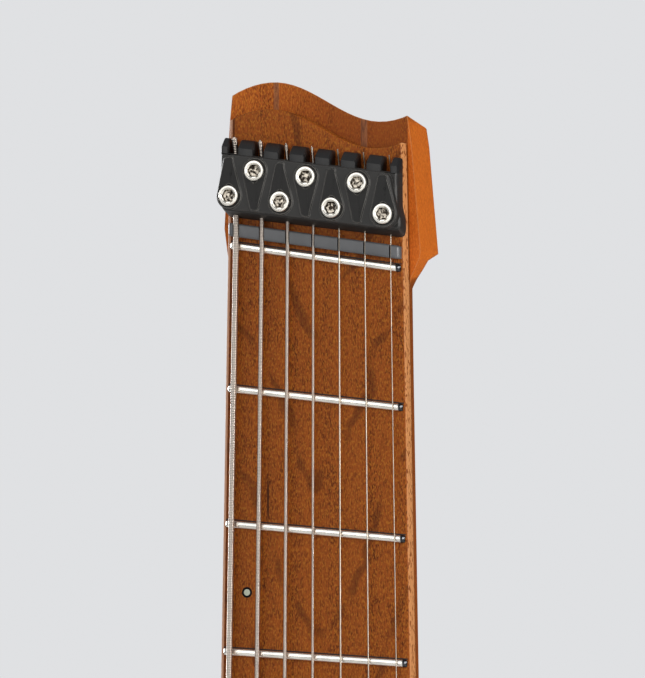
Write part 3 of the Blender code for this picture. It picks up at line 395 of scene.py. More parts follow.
neck_wood, shader, own = new_material("roasted_maple_neck", specular=0.09)
grain = figure(own, (0.40, 0.094, 0.012), (0.14, 0.029, 0.004), 0.45, 1.0, 0.15)
x, y, z = split(own)
# Painted shade: the neck is painted darker towards the treble side.
tone = mix(x.ramp(-19, 8, 0.0, 0.62), grain["Color"], (0.155, 0.034, 0.005))
# Painted light: the wing beyond the board's treble edge is painted a brighter orange.
wing = (x - edge_at(z)).ramp(0.1, 0.5) * z.ramp(WING_LOW, WING_FULL)
tone = mix(wing, tone, mix(0.36, grain["Color"], (0.82, 0.185, 0.020)))
strips = (x.between(*STRIPS[0]) + x.between(*STRIPS[1])).held()
strip_wood = mix(noise(own, (0.30, 1, 3)).ramp(0.35, 0.65), (0.085, 0.048, 0.034), (0.30, 0.125, 0.060))
wooden(shader, mix(strips * 0.6, tone, strip_wood), grain, (0.62, 0.30, 0.12))
print("neck wood:", neck_wood.name)

# %% Wood of the fingerboard
ARCH_X, ARCH_ROUND, ARCH_STEEP, ARCH_PITCH = 1.0, 2.5, 2.3, 41
board_wood, shader, own = new_material("roasted_maple_board", specular=0.09)
grain = figure(own, (0.262, 0.062, 0.008), (0.076, 0.016, 0.0025), 0.36, 1.15, 0.10)
x, y, z = split(own)
aside = x - ARCH_X
bow = aside.math("SQRT", aside * aside + ARCH_ROUND ** 2)
flow = z - bow * ARCH_STEEP + noise(own, (11, 11, 16), shift=(2, 0, 1)) * 26
arches = flow.math("SINE", flow * (2 * math.pi / ARCH_PITCH)).ramp(0.90, 1.0)
arches = arches * noise(own, (9, 9, 14)).ramp(0.36, 0.56)
tone = mix(arches * 0.55, grain["Color"], (0.075, 0.018, 0.003))
streak = x.between(-13.30, -12.72, 0.14) * z.between(ZERO_Z - 68, ZERO_Z - 58, 3)
tone = mix(streak * 0.9, tone, (0.035, 0.010, 0.004))
# Painted light: faces that turn sideways get a paler, lit tone, with dark ticks of their own in it.
across = split(put(own.tree, "NewGeometry", {}, "Normal"))[0]
lit_side_mask = across.math("ABSOLUTE", across).ramp(0.45, 0.95)
ticks = noise(mapped(own, (0.6, 1.5, 0.85), turn=(0.5, 0.0, 0.0)), None, 0.0).ramp(0.60, 0.65)
side_ticks_and_light = mix(ticks * 0.85, (0.66, 0.30, 0.115), (0.16, 0.035, 0.006))
tone = mix(lit_side_mask, tone, mix(0.25, side_ticks_and_light, grain["Color"]))
from_bass = edge_at(z) + x
# Along the bass edge: a darker band just inside, and a pale painted highlight on the rolled edge.
tone = mix(from_bass.between(0.95, 1.45) * 0.7, tone, (0.050, 0.012, 0.004))
tone = mix(from_bass.ramp(0.90, 0.75) * 0.8, tone, (0.52, 0.30, 0.20))
wooden(shader, tone, grain, (0.60, 0.31, 0.14))
print("board wood:", board_wood.name)

# %% [markdown]
# The metals differ by how they were worked. Fret wire is drawn and polished; its foot at the board
# gets painted shade, and its treble end a painted dark reflection. Nickel plate mirrors with a slight
# orange-peel. Black anodised parts are bead-blasted before they are dyed, which gives a soft, even
# sheen; their sharpest edges get a pale line, partly wear and partly painted highlight. Screw sockets
# get painted shade with painted glints.

# %% Metal and plastic
def worked(name, colour, gloss, grain, bump, smudge=0.12, metallic=0.0, specular=0.5, edge=None,
           edge_line_amount=0.5, edge_width=0.15, touch=None):
    """A material of one colour with grain, smudges and an edge line of wear and painted highlight. Touch
    may change its tone.
    """
    made, shader, own = new_material(name, metallic, specular)
    parts = use(own.tree, surface, {"Vector": own, "Grain": grain, "Low": gloss[0], "High": gloss[1]})
    tone = mix(parts["Smudge"].ramp(0.35, 0.65), [c * (1 - smudge) for c in colour],
               [min(1.0, c * (1 + smudge)) for c in colour])
    if edge:
        line = use(own.tree, edges, {"Width": edge_width, "Amount": edge_line_amount})["Mask"]
        tone = mix(line, tone, edge)
    if touch:
        tone = touch(own, tone)
    feed(shader, {"Base Color": tone, "Roughness": parts["Roughness"]})
    bumped(shader, parts["Height"], bump, grain * 0.5)
    return made


def fret_painted_shade(own, tone):
    """Paints shade on a fret's foot at the board and a dark reflection on its filed treble end."""
    x, y, z = split(own)
    tone = mix(y.ramp(BOARD_Y - 0.42, BOARD_Y - 0.18), tone, (0.06, 0.05, 0.045))
    return mix((edge_at(z) - x).ramp(2.1, 1.75), tone, (0.050, 0.052, 0.056))


def painted_socket_glints(own, _):
    """Painted glints on painted shade: bright patches on black stand for what a deep socket mirrors."""
    patches = noise(own, (0.60, 0.60, 0.70), 1.0).ramp(0.44, 0.60)
    return mix(patches, (0.035, 0.028, 0.022), (0.62, 0.56, 0.47))


fret_metal = worked("fret_wire", (0.90, 0.87, 0.81), (0.20, 0.28), 0.08, 0.03, metallic=1.0,
                    touch=fret_painted_shade)
nickel = worked("bright_nickel", (0.88, 0.85, 0.78), (0.20, 0.30), 0.06, 0.06, metallic=1.0)
# Socket insides: painted shade, with painted glints.
socket_shade_and_glints = worked("socket_painted_shade", (0.075, 0.06, 0.045), (0.22, 0.40), 0.05, 0.3, metallic=1.0,
                     touch=painted_socket_glints)
rod_metal = worked("turned_steel", (0.52, 0.51, 0.50), (0.28, 0.42), 0.05, 0.15, metallic=1.0)
anodised = worked("black_anodised", (0.0165, 0.016, 0.015), (0.42, 0.56), 0.05, 0.20, specular=0.40,
                  edge=(0.16, 0.155, 0.15), edge_line_amount=0.7)
# The pads' brighter edge line is a painted highlight on their chamfers.
pad_black = worked("pad_anodised", (0.0105, 0.0103, 0.010), (0.42, 0.56), 0.05, 0.20, specular=0.28,
                   edge=(0.24, 0.23, 0.21), edge_line_amount=0.9, edge_width=0.2)
# Deep black: the prongs' darker black, and painted shade on the bridge units' ribs.
deep_black_and_shade = worked("deep_black_and_painted_shade", (0.0075, 0.0075, 0.008), (0.36, 0.50), 0.05, 0.15,
                    edge=(0.05, 0.05, 0.05))
seat_shadow = worked("seat_shadow", (0.0022, 0.002, 0.002), (0.6, 0.75), 0.05, 0.1)
nut_stuff = worked("graphite_nut", (0.085, 0.088, 0.094), (0.30, 0.42), 0.07, 0.12,
                   edge=(0.24, 0.24, 0.25), edge_line_amount=0.6)
pickup_plastic = worked("pickup_plastic", (0.022, 0.022, 0.023), (0.38, 0.52), 0.10, 0.18,
                        edge=(0.07, 0.07, 0.07))
cover_plastic = worked("cover_plastic", (0.020, 0.020, 0.021), (0.50, 0.64), 0.35, 0.55,
                       edge=(0.06, 0.06, 0.06))
switch_plastic = worked("switch_plastic", (0.045, 0.045, 0.047), (0.35, 0.50), 0.12, 0.2)
dot_black = worked("marker_ring", (0.003, 0.003, 0.003), (0.50, 0.60), 0.08, 0.1, specular=0.1)
dot_pale = worked("marker_core", (0.46, 0.50, 0.40), (0.38, 0.50), 0.12, 0.1)
pointer_paint = worked("pointer_paint", (0.72, 0.70, 0.64), (0.45, 0.6), 0.1, 0.2)
print("materials so far:", len(bpy.data.materials))

# %% [markdown]
# The body is a single slab of a darker, open-grained wood, oiled and not lacquered. The same maple
# group serves, with broader clouds, stronger pores and a redder brown, because oil darkens wood. Its
# growth rings are a noise on one wandering coordinate, so they run as long lines down the slab.

# %% Body wood
body_wood, shader, own = new_material("oiled_body_wood", specular=0.09)
broad = mapped(own, (0.42, 0.42, 0.30))
grain = figure(broad, (0.27, 0.115, 0.045), (0.11, 0.040, 0.015), 0.5, 0.30, 0.55)
x, y, z = split(own)
heart = x + noise(own, (55, 60, 170), 3.0, 0.45, shift=(4, 1, 2)) * 85 + y * 1.4
ring_place = put(own.tree, "CombineXYZ", {0: heart * 0.150, 2: z * 0.0012})
rings = noise(ring_place, None, 2.0, 0.55).ramp(0.45, 0.66)
wooden(shader, mix(rings * 0.62, grain["Color"], (0.080, 0.028, 0.011)), grain,
       (0.26, 0.11, 0.045), 0.35)
print("body wood:", body_wood.name)

# %% [markdown]
# The three highest strings are plain steel wire. The lower four have a core wound with fine nickel
# wire, and the winding shows as tight rings across the string. Real windings would take over half a
# million faces, so a bump with the wrap wire's own pitch does it, and each gauge gets its pitch.

# %% String finishes
def string_finish(name, pitch=None):
    made, shader, own = new_material(name, 1.0)
    tone = noise(own, (2, 2, 26))
    colour, gloss = mix(tone, (0.44, 0.38, 0.31), (0.34, 0.30, 0.25)), (0.30, 0.40)
    if pitch:
        z = split(own)[2]
        coil = z.math("SINE", z * (2 * math.pi / pitch)).ramp(-1.0, 1.0, curve="LINEAR")
        # The grooves between the turns are painted dark, as painted shade.
        colour = mix(coil.ramp(0.0, 0.45, 0.75, 0.0), (0.76, 0.67, 0.59), (0.16, 0.15, 0.14))
        colour, gloss = mix(tone * 0.3, colour, (0.52, 0.44, 0.38)), (0.26, 0.36)
        bumped(shader, coil, 0.8, pitch * 0.25)
    feed(shader, {"Base Color": colour, "Roughness": tone.ramp(0.3, 0.7, *gloss)})
    return made


PITCHES = [0.44, 0.38, 0.30, 0.24]
wound_finishes = [string_finish(f"wound_string_{i + 1}", pitch) for i, pitch in enumerate(PITCHES)]
plain_finish = string_finish("plain_string")
print("string finishes:", len(wound_finishes) + 1)

# %% [markdown]
# A CAD solid has perfectly sharp edges, and nothing real does. Blender leaves the CAD mesh alone, but
# modifiers may dress it: Weld joins the loose faces, Bevel breaks every sharp edge a little, and
# Weighted Normal keeps the big faces flat in shading.

# %% Dress the CAD nodes
NECK_ANGLE, EDGE_ANGLE = 17.0, 32.0


def dress(name, finish, width):
    """Gives a CAD node its finish and edges broken by this width in millimetres."""
    item = nodes[name]
    for sharpness in ("custom_normal", "sharp_edge", "sharp_face"):
        found = item.data.attributes.get(sharpness)
        if found:
            item.data.attributes.remove(found)
    for polygon in item.data.polygons:
        polygon.use_smooth = True
    item.data.materials.clear()
    item.data.materials.append(finish)
    weld = item.modifiers.new("join_faces", "WELD")
    weld.merge_threshold = 0.002 * MM
    if width:
        bevel = item.modifiers.new("broken_edges", "BEVEL")
        bevel.width, bevel.segments = width * MM, 2
        bevel.angle_limit = math.radians(NECK_ANGLE if name == "neck" else EDGE_ANGLE)
        bevel.limit_method, bevel.use_clamp_overlap = "ANGLE", True
    normals = item.modifiers.new("flat_faces", "WEIGHTED_NORMAL")
    normals.keep_sharp, normals.weight = False, 80


FINISHES = [
    (body_wood, 0.5, "body"), (neck_wood, 0.35, "neck"), (board_wood, 0.12, "fingerboard"),
    (fret_metal, 0.2, "zero_fret"), (nut_stuff, 0.25, "string_nut"), (rod_metal, 0.0, "truss_rod"),
    (rod_metal, 0.2, "truss_rod_wheel volume_pot tone_pot"), (anodised, 0.22, "headpiece"),
    (anodised, 0.1, "selector_lever"), (anodised, 0.3, "output_jack bridge_unit tuner_knob"),
    (anodised, 0.4, "strap_button_tail strap_button_horn volume_knob tone_knob"),
    (pickup_plastic, 0.4, "neck_pickup bridge_pickup"), (cover_plastic, 0.4, "control_cover"),
    (switch_plastic, 0.3, "selector_switch"), (nickel, 0.0, "string"), (nickel, 0.15, "tuner_slide"),
    (nickel, 0.3, "string_lock_screw neck_bolt")]
dressed = 0
for finish, width, names in FINISHES:
    for name in nodes:
        if name.rstrip("_0123456789") in names.split():
            dress(name, finish, width)
            dressed += 1
print("dressed:", dressed, "of", len(nodes))

# %% [markdown]
# Finer forms are built from rings of points joined by faces, as a boat is planked over its frames.
# One helper planks the rings, one turns a profile about an axis as a lathe does, and one hands the
# finished form to the guitar: its finish, the body it rides on, and the CAD nodes it stands for.

# %% Form helpers
def plank(form, rings, strips=False):
    """Joins rings of points and closes both ends. Rings that come back to the first have no ends."""
    looped = rings[-1] is rings[0]
    rows = [[form.verts.new(point) for point in ring] for ring in (rings[:-1] if looped else rings)]
    if looped:
        rows.append(rows[0])
    count = len(rows[0])
    for low, high in zip(rows, rows[1:]):
        for i in range(count):
            j = (i + 1) % count
            form.faces.new((low[i], low[j], high[j], high[i]))
    for row in () if looped else (rows[0][::-1], rows[-1]):
        if not strips:
            form.faces.new(row)
        for i in range(count // 2 - 1 if strips else 0):
            form.faces.new((row[-i - 1], row[-i - 2], row[i + 1], row[i]))


def lathe(profile, origin, direction, steps=48, ripple=None):
    """Turns (radius, height) points about an axis. ripple(radius, height, angle) gives a new radius."""
    turn = Vector(direction).to_track_quat("Z", "Y").to_matrix()
    rings = []
    for radius, height in profile:
        ring = []
        for i in range(steps):
            angle = 2 * math.pi * i / steps
            r = ripple(radius, height, angle) if ripple else radius
            ring.append(Vector(origin)
                        + turn @ Vector((r * math.cos(angle), r * math.sin(angle), height)))
        rings.append(ring)
    return rings


def piece(name, shells, finish, body="guitar", stands_for=None, sharp=35.0, second=None,
          strips=False):
    """One object of planked shells, riding on a body. second is a finish and a test on face middles."""
    form = bmesh.new()
    for rings in shells:
        plank(form, rings, strips)
    bmesh.ops.remove_doubles(form, verts=form.verts, dist=0.0005)
    bmesh.ops.recalc_face_normals(form, faces=form.faces)
    bmesh.ops.scale(form, vec=(MM, MM, MM), verts=form.verts)
    mesh = bpy.data.meshes.new(name)
    form.to_mesh(mesh)
    form.free()
    mesh.materials.append(finish)
    if second:
        mesh.materials.append(second[0])
    for polygon in mesh.polygons:
        polygon.use_smooth = True
        if second and second[1](polygon.center / MM):
            polygon.material_index = 1
    mesh.set_sharp_from_angle(angle=math.radians(sharp))
    item = stand(name, mesh)
    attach(item, body)
    if stands_for:
        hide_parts(stands_for)


print("form helpers ready")

# %% [markdown]
# The head's end is cut to a wave, and the fingerboard stops short of it on the same wave. The board
# is planked across: each row runs from the bass edge, over the rolled corner, across the playing face
# and over the treble corner. Rolling the edges is what makes a played-in neck feel soft.

# %% Fingerboard
WAVE_CREST, WAVE_DIP, RISE_BEFORE, RISE_AFTER = (-13.0, 46.3), (17.0, 35.4), 22.0, 26.0
BOARD_THICK, ROLL, END_BACK, WAVE_START = 4.0, 0.75, 7.3, ZERO_Z + 16
PAST_LAST, BROKEN_LOW, ROLL_STEPS = 8.0, 0.5, 4
last_bass, last_treble = fret_end(-1, FRETS), fret_end(1, FRETS)
end_slope = (last_treble[1] - last_bass[1]) / (last_treble[0] - last_bass[0])


def head_wave(x):
    """Height of the wave above the zero fret's middle."""
    share = (x - WAVE_CREST[0]) / (WAVE_DIP[0] - WAVE_CREST[0])
    if share < 0.0:
        return WAVE_CREST[1] - RISE_BEFORE * share * share
    if share > 1.0:
        return WAVE_DIP[1] + RISE_AFTER * (share - 1.0) ** 2
    return WAVE_CREST[1] + (WAVE_DIP[1] - WAVE_CREST[1]) * (0.5 - 0.5 * math.cos(math.pi * share))


def board_row(z_of, drop=0.0):
    """One row of the board: z_of(x) gives its height, and drop lowers the face there."""
    half = board_half(z_of(0.0))
    quarter = [math.pi / 2 * i / ROLL_STEPS for i in range(ROLL_STEPS + 1)]
    corner = [(-half + ROLL * (1 - math.cos(a)), ROLL * (1 - math.sin(a))) for a in quarter]
    face = corner + [(half * (i / 12 - 1), 0.0) for i in range(1, 24)]
    face += [(-x, y) for x, y in reversed(corner)]
    front = [Vector((x, BOARD_Y + max(y, drop), z_of(x))) for x, y in face]
    return front + [Vector((x, BOARD_Y + BOARD_THICK, z_of(x))) for x, y in reversed(face)]


def board_bottom(raised):
    return lambda x: last_bass[1] - PAST_LAST + end_slope * (x - last_bass[0]) + raised


def level(z):
    return lambda x: z


def toward_wave(amount, back=0.0):
    """A row on the way from a level line to the wave at the board's end."""
    return lambda x: WAVE_START + (ZERO_Z + head_wave(x) - END_BACK - back - WAVE_START) * amount


lowest = last_treble[1] + 4
rows = [board_row(board_bottom(0.0), BROKEN_LOW), board_row(board_bottom(BROKEN_LOW))]
rows += [board_row(level(lowest + (WAVE_START - lowest) * i / 16)) for i in range(17)]
rows += [board_row(toward_wave(i / 6)) for i in range(1, 6)]
rows += [board_row(toward_wave(1.0, back), drop) for back, drop in ((0.30, 0.0), (0.09, 0.09), (0.0, 0.30))]
piece("fingerboard_wood", [rows], board_wood, stands_for="fingerboard",
      sharp=50.0, strips=True)
print("fingerboard rows:", len(rows))

# %% [markdown]
# Fret wire is a low crown of hard metal. Each fret is cut a little short of the board's edge and its
# ends are filed to a slope and rounded; the treble ends get a painted dark reflection. The zero fret is
# the same wire, and carries every string at its own end of the scale. A thin dark line of painted
# shadow lies on the board above each fret.

# %% Frets
CROWN, HALF_WIDTH, SHORT, CROWN_STEPS, SUNK = 1.2, 1.05, 0.8, 12, 0.02
FILED = [(0.0, 0.10), (0.138, 0.28), (0.5175, 0.66), (0.92, 0.93), (1.38, 1.0)]


def fret_line(number):
    """Both ends of a fret, its length, and its direction."""
    (x, z), (far_x, far_z) = fret_end(-1, number, SHORT), fret_end(1, number, SHORT)
    start, stop = Vector((x, BOARD_Y, z)), Vector((far_x, BOARD_Y, far_z))
    return start, stop, (stop - start).length, (stop - start).normalized()


def fret_rings(number):
    """Sections along a fret: FILED gives how far in and how tall each one is at the sloped ends."""
    start, _, length, along = fret_line(number)
    across = along.cross(Vector((0, 1, 0)))
    places = FILED + [(length * k / 6, 1.0) for k in range(1, 6)]
    places += [(length - far, tall) for far, tall in reversed(FILED)]
    rings = []
    for far, tall in places:
        half = HALF_WIDTH * (0.72 + 0.28 * tall)
        section = []
        for i in range(CROWN_STEPS + 1):
            angle = math.pi * i / CROWN_STEPS
            section.append((half * math.cos(angle), -CROWN * tall * math.sin(angle) ** 0.75))
        section += [(-half, SUNK), (half, SUNK)]
        rings.append([start + far * along + side * across + Vector((0, y, 0)) for side, y in section])
    return rings


def seat_rings(number):
    """A thin dark line of painted shadow on the board, just above a fret."""
    start, stop, _, along = fret_line(number)
    across = Vector((0, 0, 1)) - along * along.z
    corners = ((HALF_WIDTH - 0.05, SUNK), (HALF_WIDTH - 0.05, -0.03), (HALF_WIDTH + 0.30, -0.02),
               (HALF_WIDTH + 0.30, SUNK))
    return [[start.lerp(stop, k / 8) + side * across + Vector((0, y, 0)) for side, y in corners]
            for k in range(9)]


piece("zero_fret_wire", [fret_rings(0)], fret_metal, stands_for="zero_fret", sharp=50.0)
for number in range(1, FRETS + 1):
    piece(f"fret_wire_{number}", [fret_rings(number)], fret_metal, sharp=50.0)
piece("fret_seat_lines", [seat_rings(number) for number in range(FRETS + 1)], seat_shadow)
print("frets:", FRETS + 1)

# %% [markdown]
# The nut is a low bar with a slot for each string, cut only a little wider than the string. It is
# planked across the neck: the front drops to the slot's floor and rises again, and both ends round
# over, so they catch a streak of light.

# %% Nut
NUT_NEAR, NUT_LONG, NUT_TALL, NUT_FLOOR, NUT_INSET = 2.4, 3.5, 2.1, 1.05, 0.6
NUT_SOFT, NUT_END, SLOT_CLEAR, SLOT_LEAN = 0.55, 1.1, 0.07, 0.1
nut_bass, nut_treble = fret_end(-1, 0, NUT_INSET), fret_end(1, 0, NUT_INSET)
nut_slope = (nut_treble[1] - nut_bass[1]) / (nut_treble[0] - nut_bass[0])


def nut_ring(x, tall, tuck=0.0):
    """A section of the nut: its corners are rounded, and tuck draws it in at the ends."""
    low = nut_bass[1] + nut_slope * (x - nut_bass[0]) + NUT_NEAR + tuck * 0.4
    high = low + NUT_LONG - tuck * 0.8
    front = []
    for i in range(5):
        angle = math.pi / 2 * i / 4
        front.append((NUT_SOFT * (1 - math.sin(angle)) - tall, low + NUT_SOFT * (1 - math.cos(angle))))
    front += [(y, low + high - z) for y, z in reversed(front)]
    return [Vector((x, BOARD_Y + y, z)) for y, z in [(SUNK, low)] + front + [(SUNK, high)]]


def nut_end(x, inward):
    """Sections that round over one end of the nut."""
    leans = [(far, (1 - far / NUT_END) ** 2 * NUT_END) for far in (0.0, 0.15, 0.4, 0.75, NUT_END)]
    return [nut_ring(x + inward * far, NUT_TALL - lean, lean * 0.5) for far, lean in leans]


rings = nut_end(nut_bass[0], 1)
for index in range(STRINGS):
    x, half = share_of(index) * NUT_SPREAD, GAUGES[index] / 2 + SLOT_CLEAR
    rings += [nut_ring(x + far, tall) for far, tall in (
        (-half - SLOT_LEAN, NUT_TALL), (-half, NUT_FLOOR), (half, NUT_FLOOR), (half + SLOT_LEAN, NUT_TALL))]
rings += nut_end(nut_treble[0], -1)[::-1]
piece("nut_bar", [rings], nut_stuff, stands_for="string_nut", sharp=40.0)
print("nut slots:", STRINGS)

# %% [markdown]
# Position markers are glow dots: a pale green core in a black ring, pressed into the board near its
# bass edge and sanded flush. They stand at frets 3, 5, 7, 9, 12 and so on, two of them at the octave.
# Plain pale dots in the board's bass edge face the player at the same frets.

# %% Markers
MARKED = (3, 5, 7, 9, 12, 15, 17, 19, 21, 24)
RING, CORE, DOT_FROM_EDGE, DOT_SHARE, DOT_LOWER = 1.42, 0.84, 7.0, 0.38, 0.7
OCTAVE_APART, SIDE_APART, SIDE_DEEP = 5.0, 3, 2.2
RING_PROFILE = [(0.0, -0.5), (RING, -0.5), (RING, 0.01), (CORE + 0.02, 0.015), (CORE, -0.01), (0.0, -0.01)]
CORE_PROFILE = [(0.0, -0.4), (CORE, -0.4), (CORE, 0.01), (CORE * 0.6, 0.03), (0.0, 0.035)]
SIDE_PROFILE = [(0.0, -0.5), (1.0, -0.5), (1.0, 0.0), (0.95, 0.03), (0.0, 0.03)]


def between_frets(share, number):
    return (fret_z(share, number) + fret_z(share, number - 1)) / 2


side_dots = []
for number in MARKED:
    octave = number % 12 == 0
    z = between_frets(-DOT_SHARE, number) - DOT_LOWER
    for letter, shift in (("a", 0.0), ("b", OCTAVE_APART)) if octave else (("a", 0.0),):
        place = (DOT_FROM_EDGE - board_half(z) + shift, BOARD_Y, z)
        for kind, profile, finish in (("ring", RING_PROFILE, dot_black), ("core", CORE_PROFILE, dot_pale)):
            piece(f"marker_{kind}_{number}_{letter}", [lathe(profile, place, (0, -1, 0), 40)], finish)
    for shift in (-SIDE_APART, SIDE_APART) if octave else (0.0,):
        z = between_frets(-0.5, number) + shift
        side_dots.append(lathe(SIDE_PROFILE, (-board_half(z), BOARD_Y + SIDE_DEEP, z), (-1, 0, 0), 32))
piece("side_markers", side_dots, dot_pale)
print("marked frets:", len(MARKED))

# %% [markdown]
# Each string starts as a snipped end above the headpiece, is pinched in its clamp, passes a slot in
# the nut, breaks over the zero fret, runs to its saddle and dives to the ball in the tuner's slide. A
# string's bends are tight but never sharp, so each corner of its path becomes a small arc.

# %% Strings
HEAD_SLOPE, PLATE_LOW, PLATE_HIGH, PLATE_FRONT = -0.132, 9.4, 24.1, 7.3
TUNER_Y, SADDLE_Y, ARC_STEPS, WIRE_SIDES, WIRE_BEND = -33.7, BOARD_Y - 4.6, 4, 16, 1.6


def nut_x(index):
    return share_of(index) * NUT_SPREAD


def plate_z(x):
    return ZERO_Z + HEAD_SLOPE * x


def clamp_y(index):
    return BOARD_Y - (1.15 + GAUGES[index] / 2)


def eased(before, corner, after, reach, most, steps):
    """A corner replaced by a small arc that starts at most this share of each side away."""
    cut = min(reach, (corner - before).length * most, (after - corner).length * most)
    first = corner + (before - corner).normalized() * cut
    last = corner + (after - corner).normalized() * cut
    shares = [i / steps for i in range(steps + 1)]
    return [first * (1 - t) ** 2 + corner * 2 * t * (1 - t) + last * t * t for t in shares]


def wire(path, widths):
    """Sweeps a circle along a path that runs mostly along Z, with one radius for each point."""
    rings = []
    for k, (here, radius) in enumerate(zip(path, widths)):
        along = (path[min(k + 1, len(path) - 1)] - path[max(k - 1, 0)]).normalized()
        side = along.cross(Vector((0, 1, 0))).normalized()
        front = side.cross(along)
        angles = [2 * math.pi * i / WIRE_SIDES for i in range(WIRE_SIDES)]
        rings.append([here + radius * (math.cos(a) * side + math.sin(a) * front) for a in angles])
    return rings


def string_wire(index):
    """The whole string: bare core at the snipped end, full gauge below, and the ball at the tail."""
    radius, x, y = GAUGES[index] / 2, nut_x(index), clamp_y(index)
    head, zero = plate_z(x), fret_z(share_of(index), 0)
    crown = BOARD_Y - CROWN - radius - 0.03
    far_x, saddle = share_of(index) * BRIDGE_SPREAD, saddle_z(share_of(index))
    points = [Vector(p) for p in (
        (x, y - 1.3, head + PLATE_HIGH + 4.4), (x, y, head + PLATE_HIGH + 0.9),
        (x, y, head + PLATE_LOW - 0.8), (x, crown, zero + 0.4), (x, crown, zero - 0.4),
        (far_x, SADDLE_Y, saddle + 1.0), (far_x, SADDLE_Y, saddle - 1.3 - radius * 0.6),
        (far_x, TUNER_Y, saddle - 11), (far_x, TUNER_Y, saddle - 29))]
    path = [points[0]]
    for corner in zip(points, points[1:], points[2:]):
        path += eased(*corner, WIRE_BEND, 0.45, ARC_STEPS)
    path.append(points[-1])
    core = radius * (0.5 if index < WOUND else 1.0)
    lift = (path[0] - path[1]).normalized()
    widths = [core * 0.9, core] + [radius] * len(path)
    path = [path[0] + 0.35 * lift, path[0] + 0.02 * lift] + path
    for far, wide in ((29.2, 0.9), (29.5, 1.3), (31.6, 1.3), (31.9, 1.0)):
        path.append(Vector((far_x, TUNER_Y, saddle - far)))
        widths.append(max(wide, radius))
    return wire(path, widths)


for index in range(STRINGS):
    wound = index < WOUND
    piece(f"guitar_string_{index + 1}", [string_wire(index)],
          wound_finishes[index] if wound else plain_finish,
          stands_for=f"string_{index + 1}", sharp=60.0)
print("strings:", STRINGS, "lowest gauge mm:", GAUGES[0])

# %% [markdown]
# A lock screw is a small socket cap screw. Turned on the lathe, its profile runs up the shank, over
# the rounded rim and down into the socket, where the ripple squeezes the circle into a hexagon.

# %% Lock screws
ROW_LOW, ROW_HIGH, PAD_RAISE, SCREW_PROUD = 13.2, 20.5, 0.7, 0.55
SCREW_FACE = BOARD_Y - PLATE_FRONT - PAD_RAISE - SCREW_PROUD
HEAD, SHANK, HEAD_TALL, SOCKET_MOUTH, SOCKET_DEEP = 2.7, 1.5, 3.0, 1.87, 0.9
RIM = [(2.70, 0.40), (2.66, 0.18), (2.58, 0.06), (2.46, 0.0), (2.12, 0.0), (2.04, 0.05), (1.98, 0.14),
       (1.86, 0.24), (1.80, 0.30), (1.70, 0.55), (1.45, 0.80), (0.8, 0.95), (0.0, 0.75)]


def hexagon(radius, angle):
    """Radius of a hexagon with this corner radius, at an angle."""
    turn = (angle + math.pi / 6) % (math.pi / 3) - math.pi / 6
    return radius * math.cos(math.pi / 6) / math.cos(turn + (math.pi / 6 if turn < 0 else -math.pi / 6))


def hexagons(least, most, floor):
    """A ripple that makes hexagons of the circles of these radii above a floor height."""
    return lambda r, height, angle: hexagon(r, angle) if least < r < most and height > floor else r


def screw_spot(index):
    x = nut_x(index)
    return x, plate_z(x) + (ROW_LOW if index % 2 == 0 else ROW_HIGH)


def in_socket(x, z):
    """A test for the faces that lie inside a screw's socket."""
    def test(middle):
        deep = middle.y - SCREW_FACE
        return math.hypot(middle.x - x, middle.z - z) < 1.80 and 0.35 < deep < 1.9
    return test


for index in range(STRINGS):
    x, z = screw_spot(index)
    tip = clamp_y(index) - GAUGES[index] / 2 - 0.3
    tall = tip - SCREW_FACE
    neck = tall - HEAD_TALL
    profile = [(0.0, 0.0), (SHANK - 0.3, 0.0), (SHANK, 0.3), (SHANK, neck), (HEAD - 0.15, neck),
               (HEAD, neck + 0.15)] + [(r, tall - down) for r, down in RIM]
    shell = lathe(profile, (x, tip, z), (0, -1, 0), 48, hexagons(-1, SOCKET_MOUTH, tall - SOCKET_DEEP))
    number = index + 1
    # Faces inside the socket take painted shade with painted glints.
    piece(f"lock_screw_{number}", [shell], nickel, f"lock_screw_{number}",
          f"string_lock_screw_{number}", 28.0, (socket_shade_and_glints, in_socket(x, z)))
print("lock screws:", STRINGS)

# %% [markdown]
# The headpiece is a milled block with a plate on it. It is made as the shop thinks of it, in layers:
# each layer is an outline, drawn along the slanted base line, that grows or shrinks a little from its
# back to its face, which makes the chamfers.

# %% Layer helpers
def outset(outline, amount):
    """The outline moved outward by an amount; its points run anticlockwise."""
    moved = []
    for before, here, after in zip(outline[-1:] + outline[:-1], outline, outline[1:] + outline[:1]):
        first, second = (here - before).normalized(), (after - here).normalized()
        normal = Vector((first.y + second.y, -first.x - second.x))
        moved.append(here + normal.normalized() * (amount / max(0.5, normal.length / 2)))
    return moved


def anticlockwise(outline):
    outline = [Vector(point) for point in outline]
    area = sum(a.x * b.y - b.x * a.y for a, b in zip(outline, outline[1:] + outline[:1]))
    return outline if area > 0 else outline[::-1]


def slab(outline, layers, shift=None):
    """A slab with its face toward -Y: layers are (y, outset) from the back to the front."""
    base = anticlockwise(outline)
    rings = [[Vector((x, y, z)) for x, z in (outset(base, grow) if grow else base)]
             for y, grow in layers]
    return [[shift(point) for point in ring] for ring in rings] if shift else rings


def smooth_outline(points, radius, steps=5):
    """Rounds each corner of an outline of (x, z) points; radius is one number or one per point."""
    radii = radius if isinstance(radius, list) else [radius] * len(points)
    corners = [Vector(point) for point in points]
    made = []
    for before, here, after, r in zip(corners[-1:] + corners, corners, corners[1:] + corners[:1], radii):
        made += eased(before, here, after, r, 0.48, steps) if r else [here]
    return made


def arc(centre, radius, start, stop, steps):
    """Points of a circular arc from one angle to another, in degrees."""
    angles = [math.radians(start + (stop - start) * i / steps) for i in range(steps + 1)]
    return [(centre[0] + radius * math.cos(a), centre[1] + radius * math.sin(a)) for a in angles]


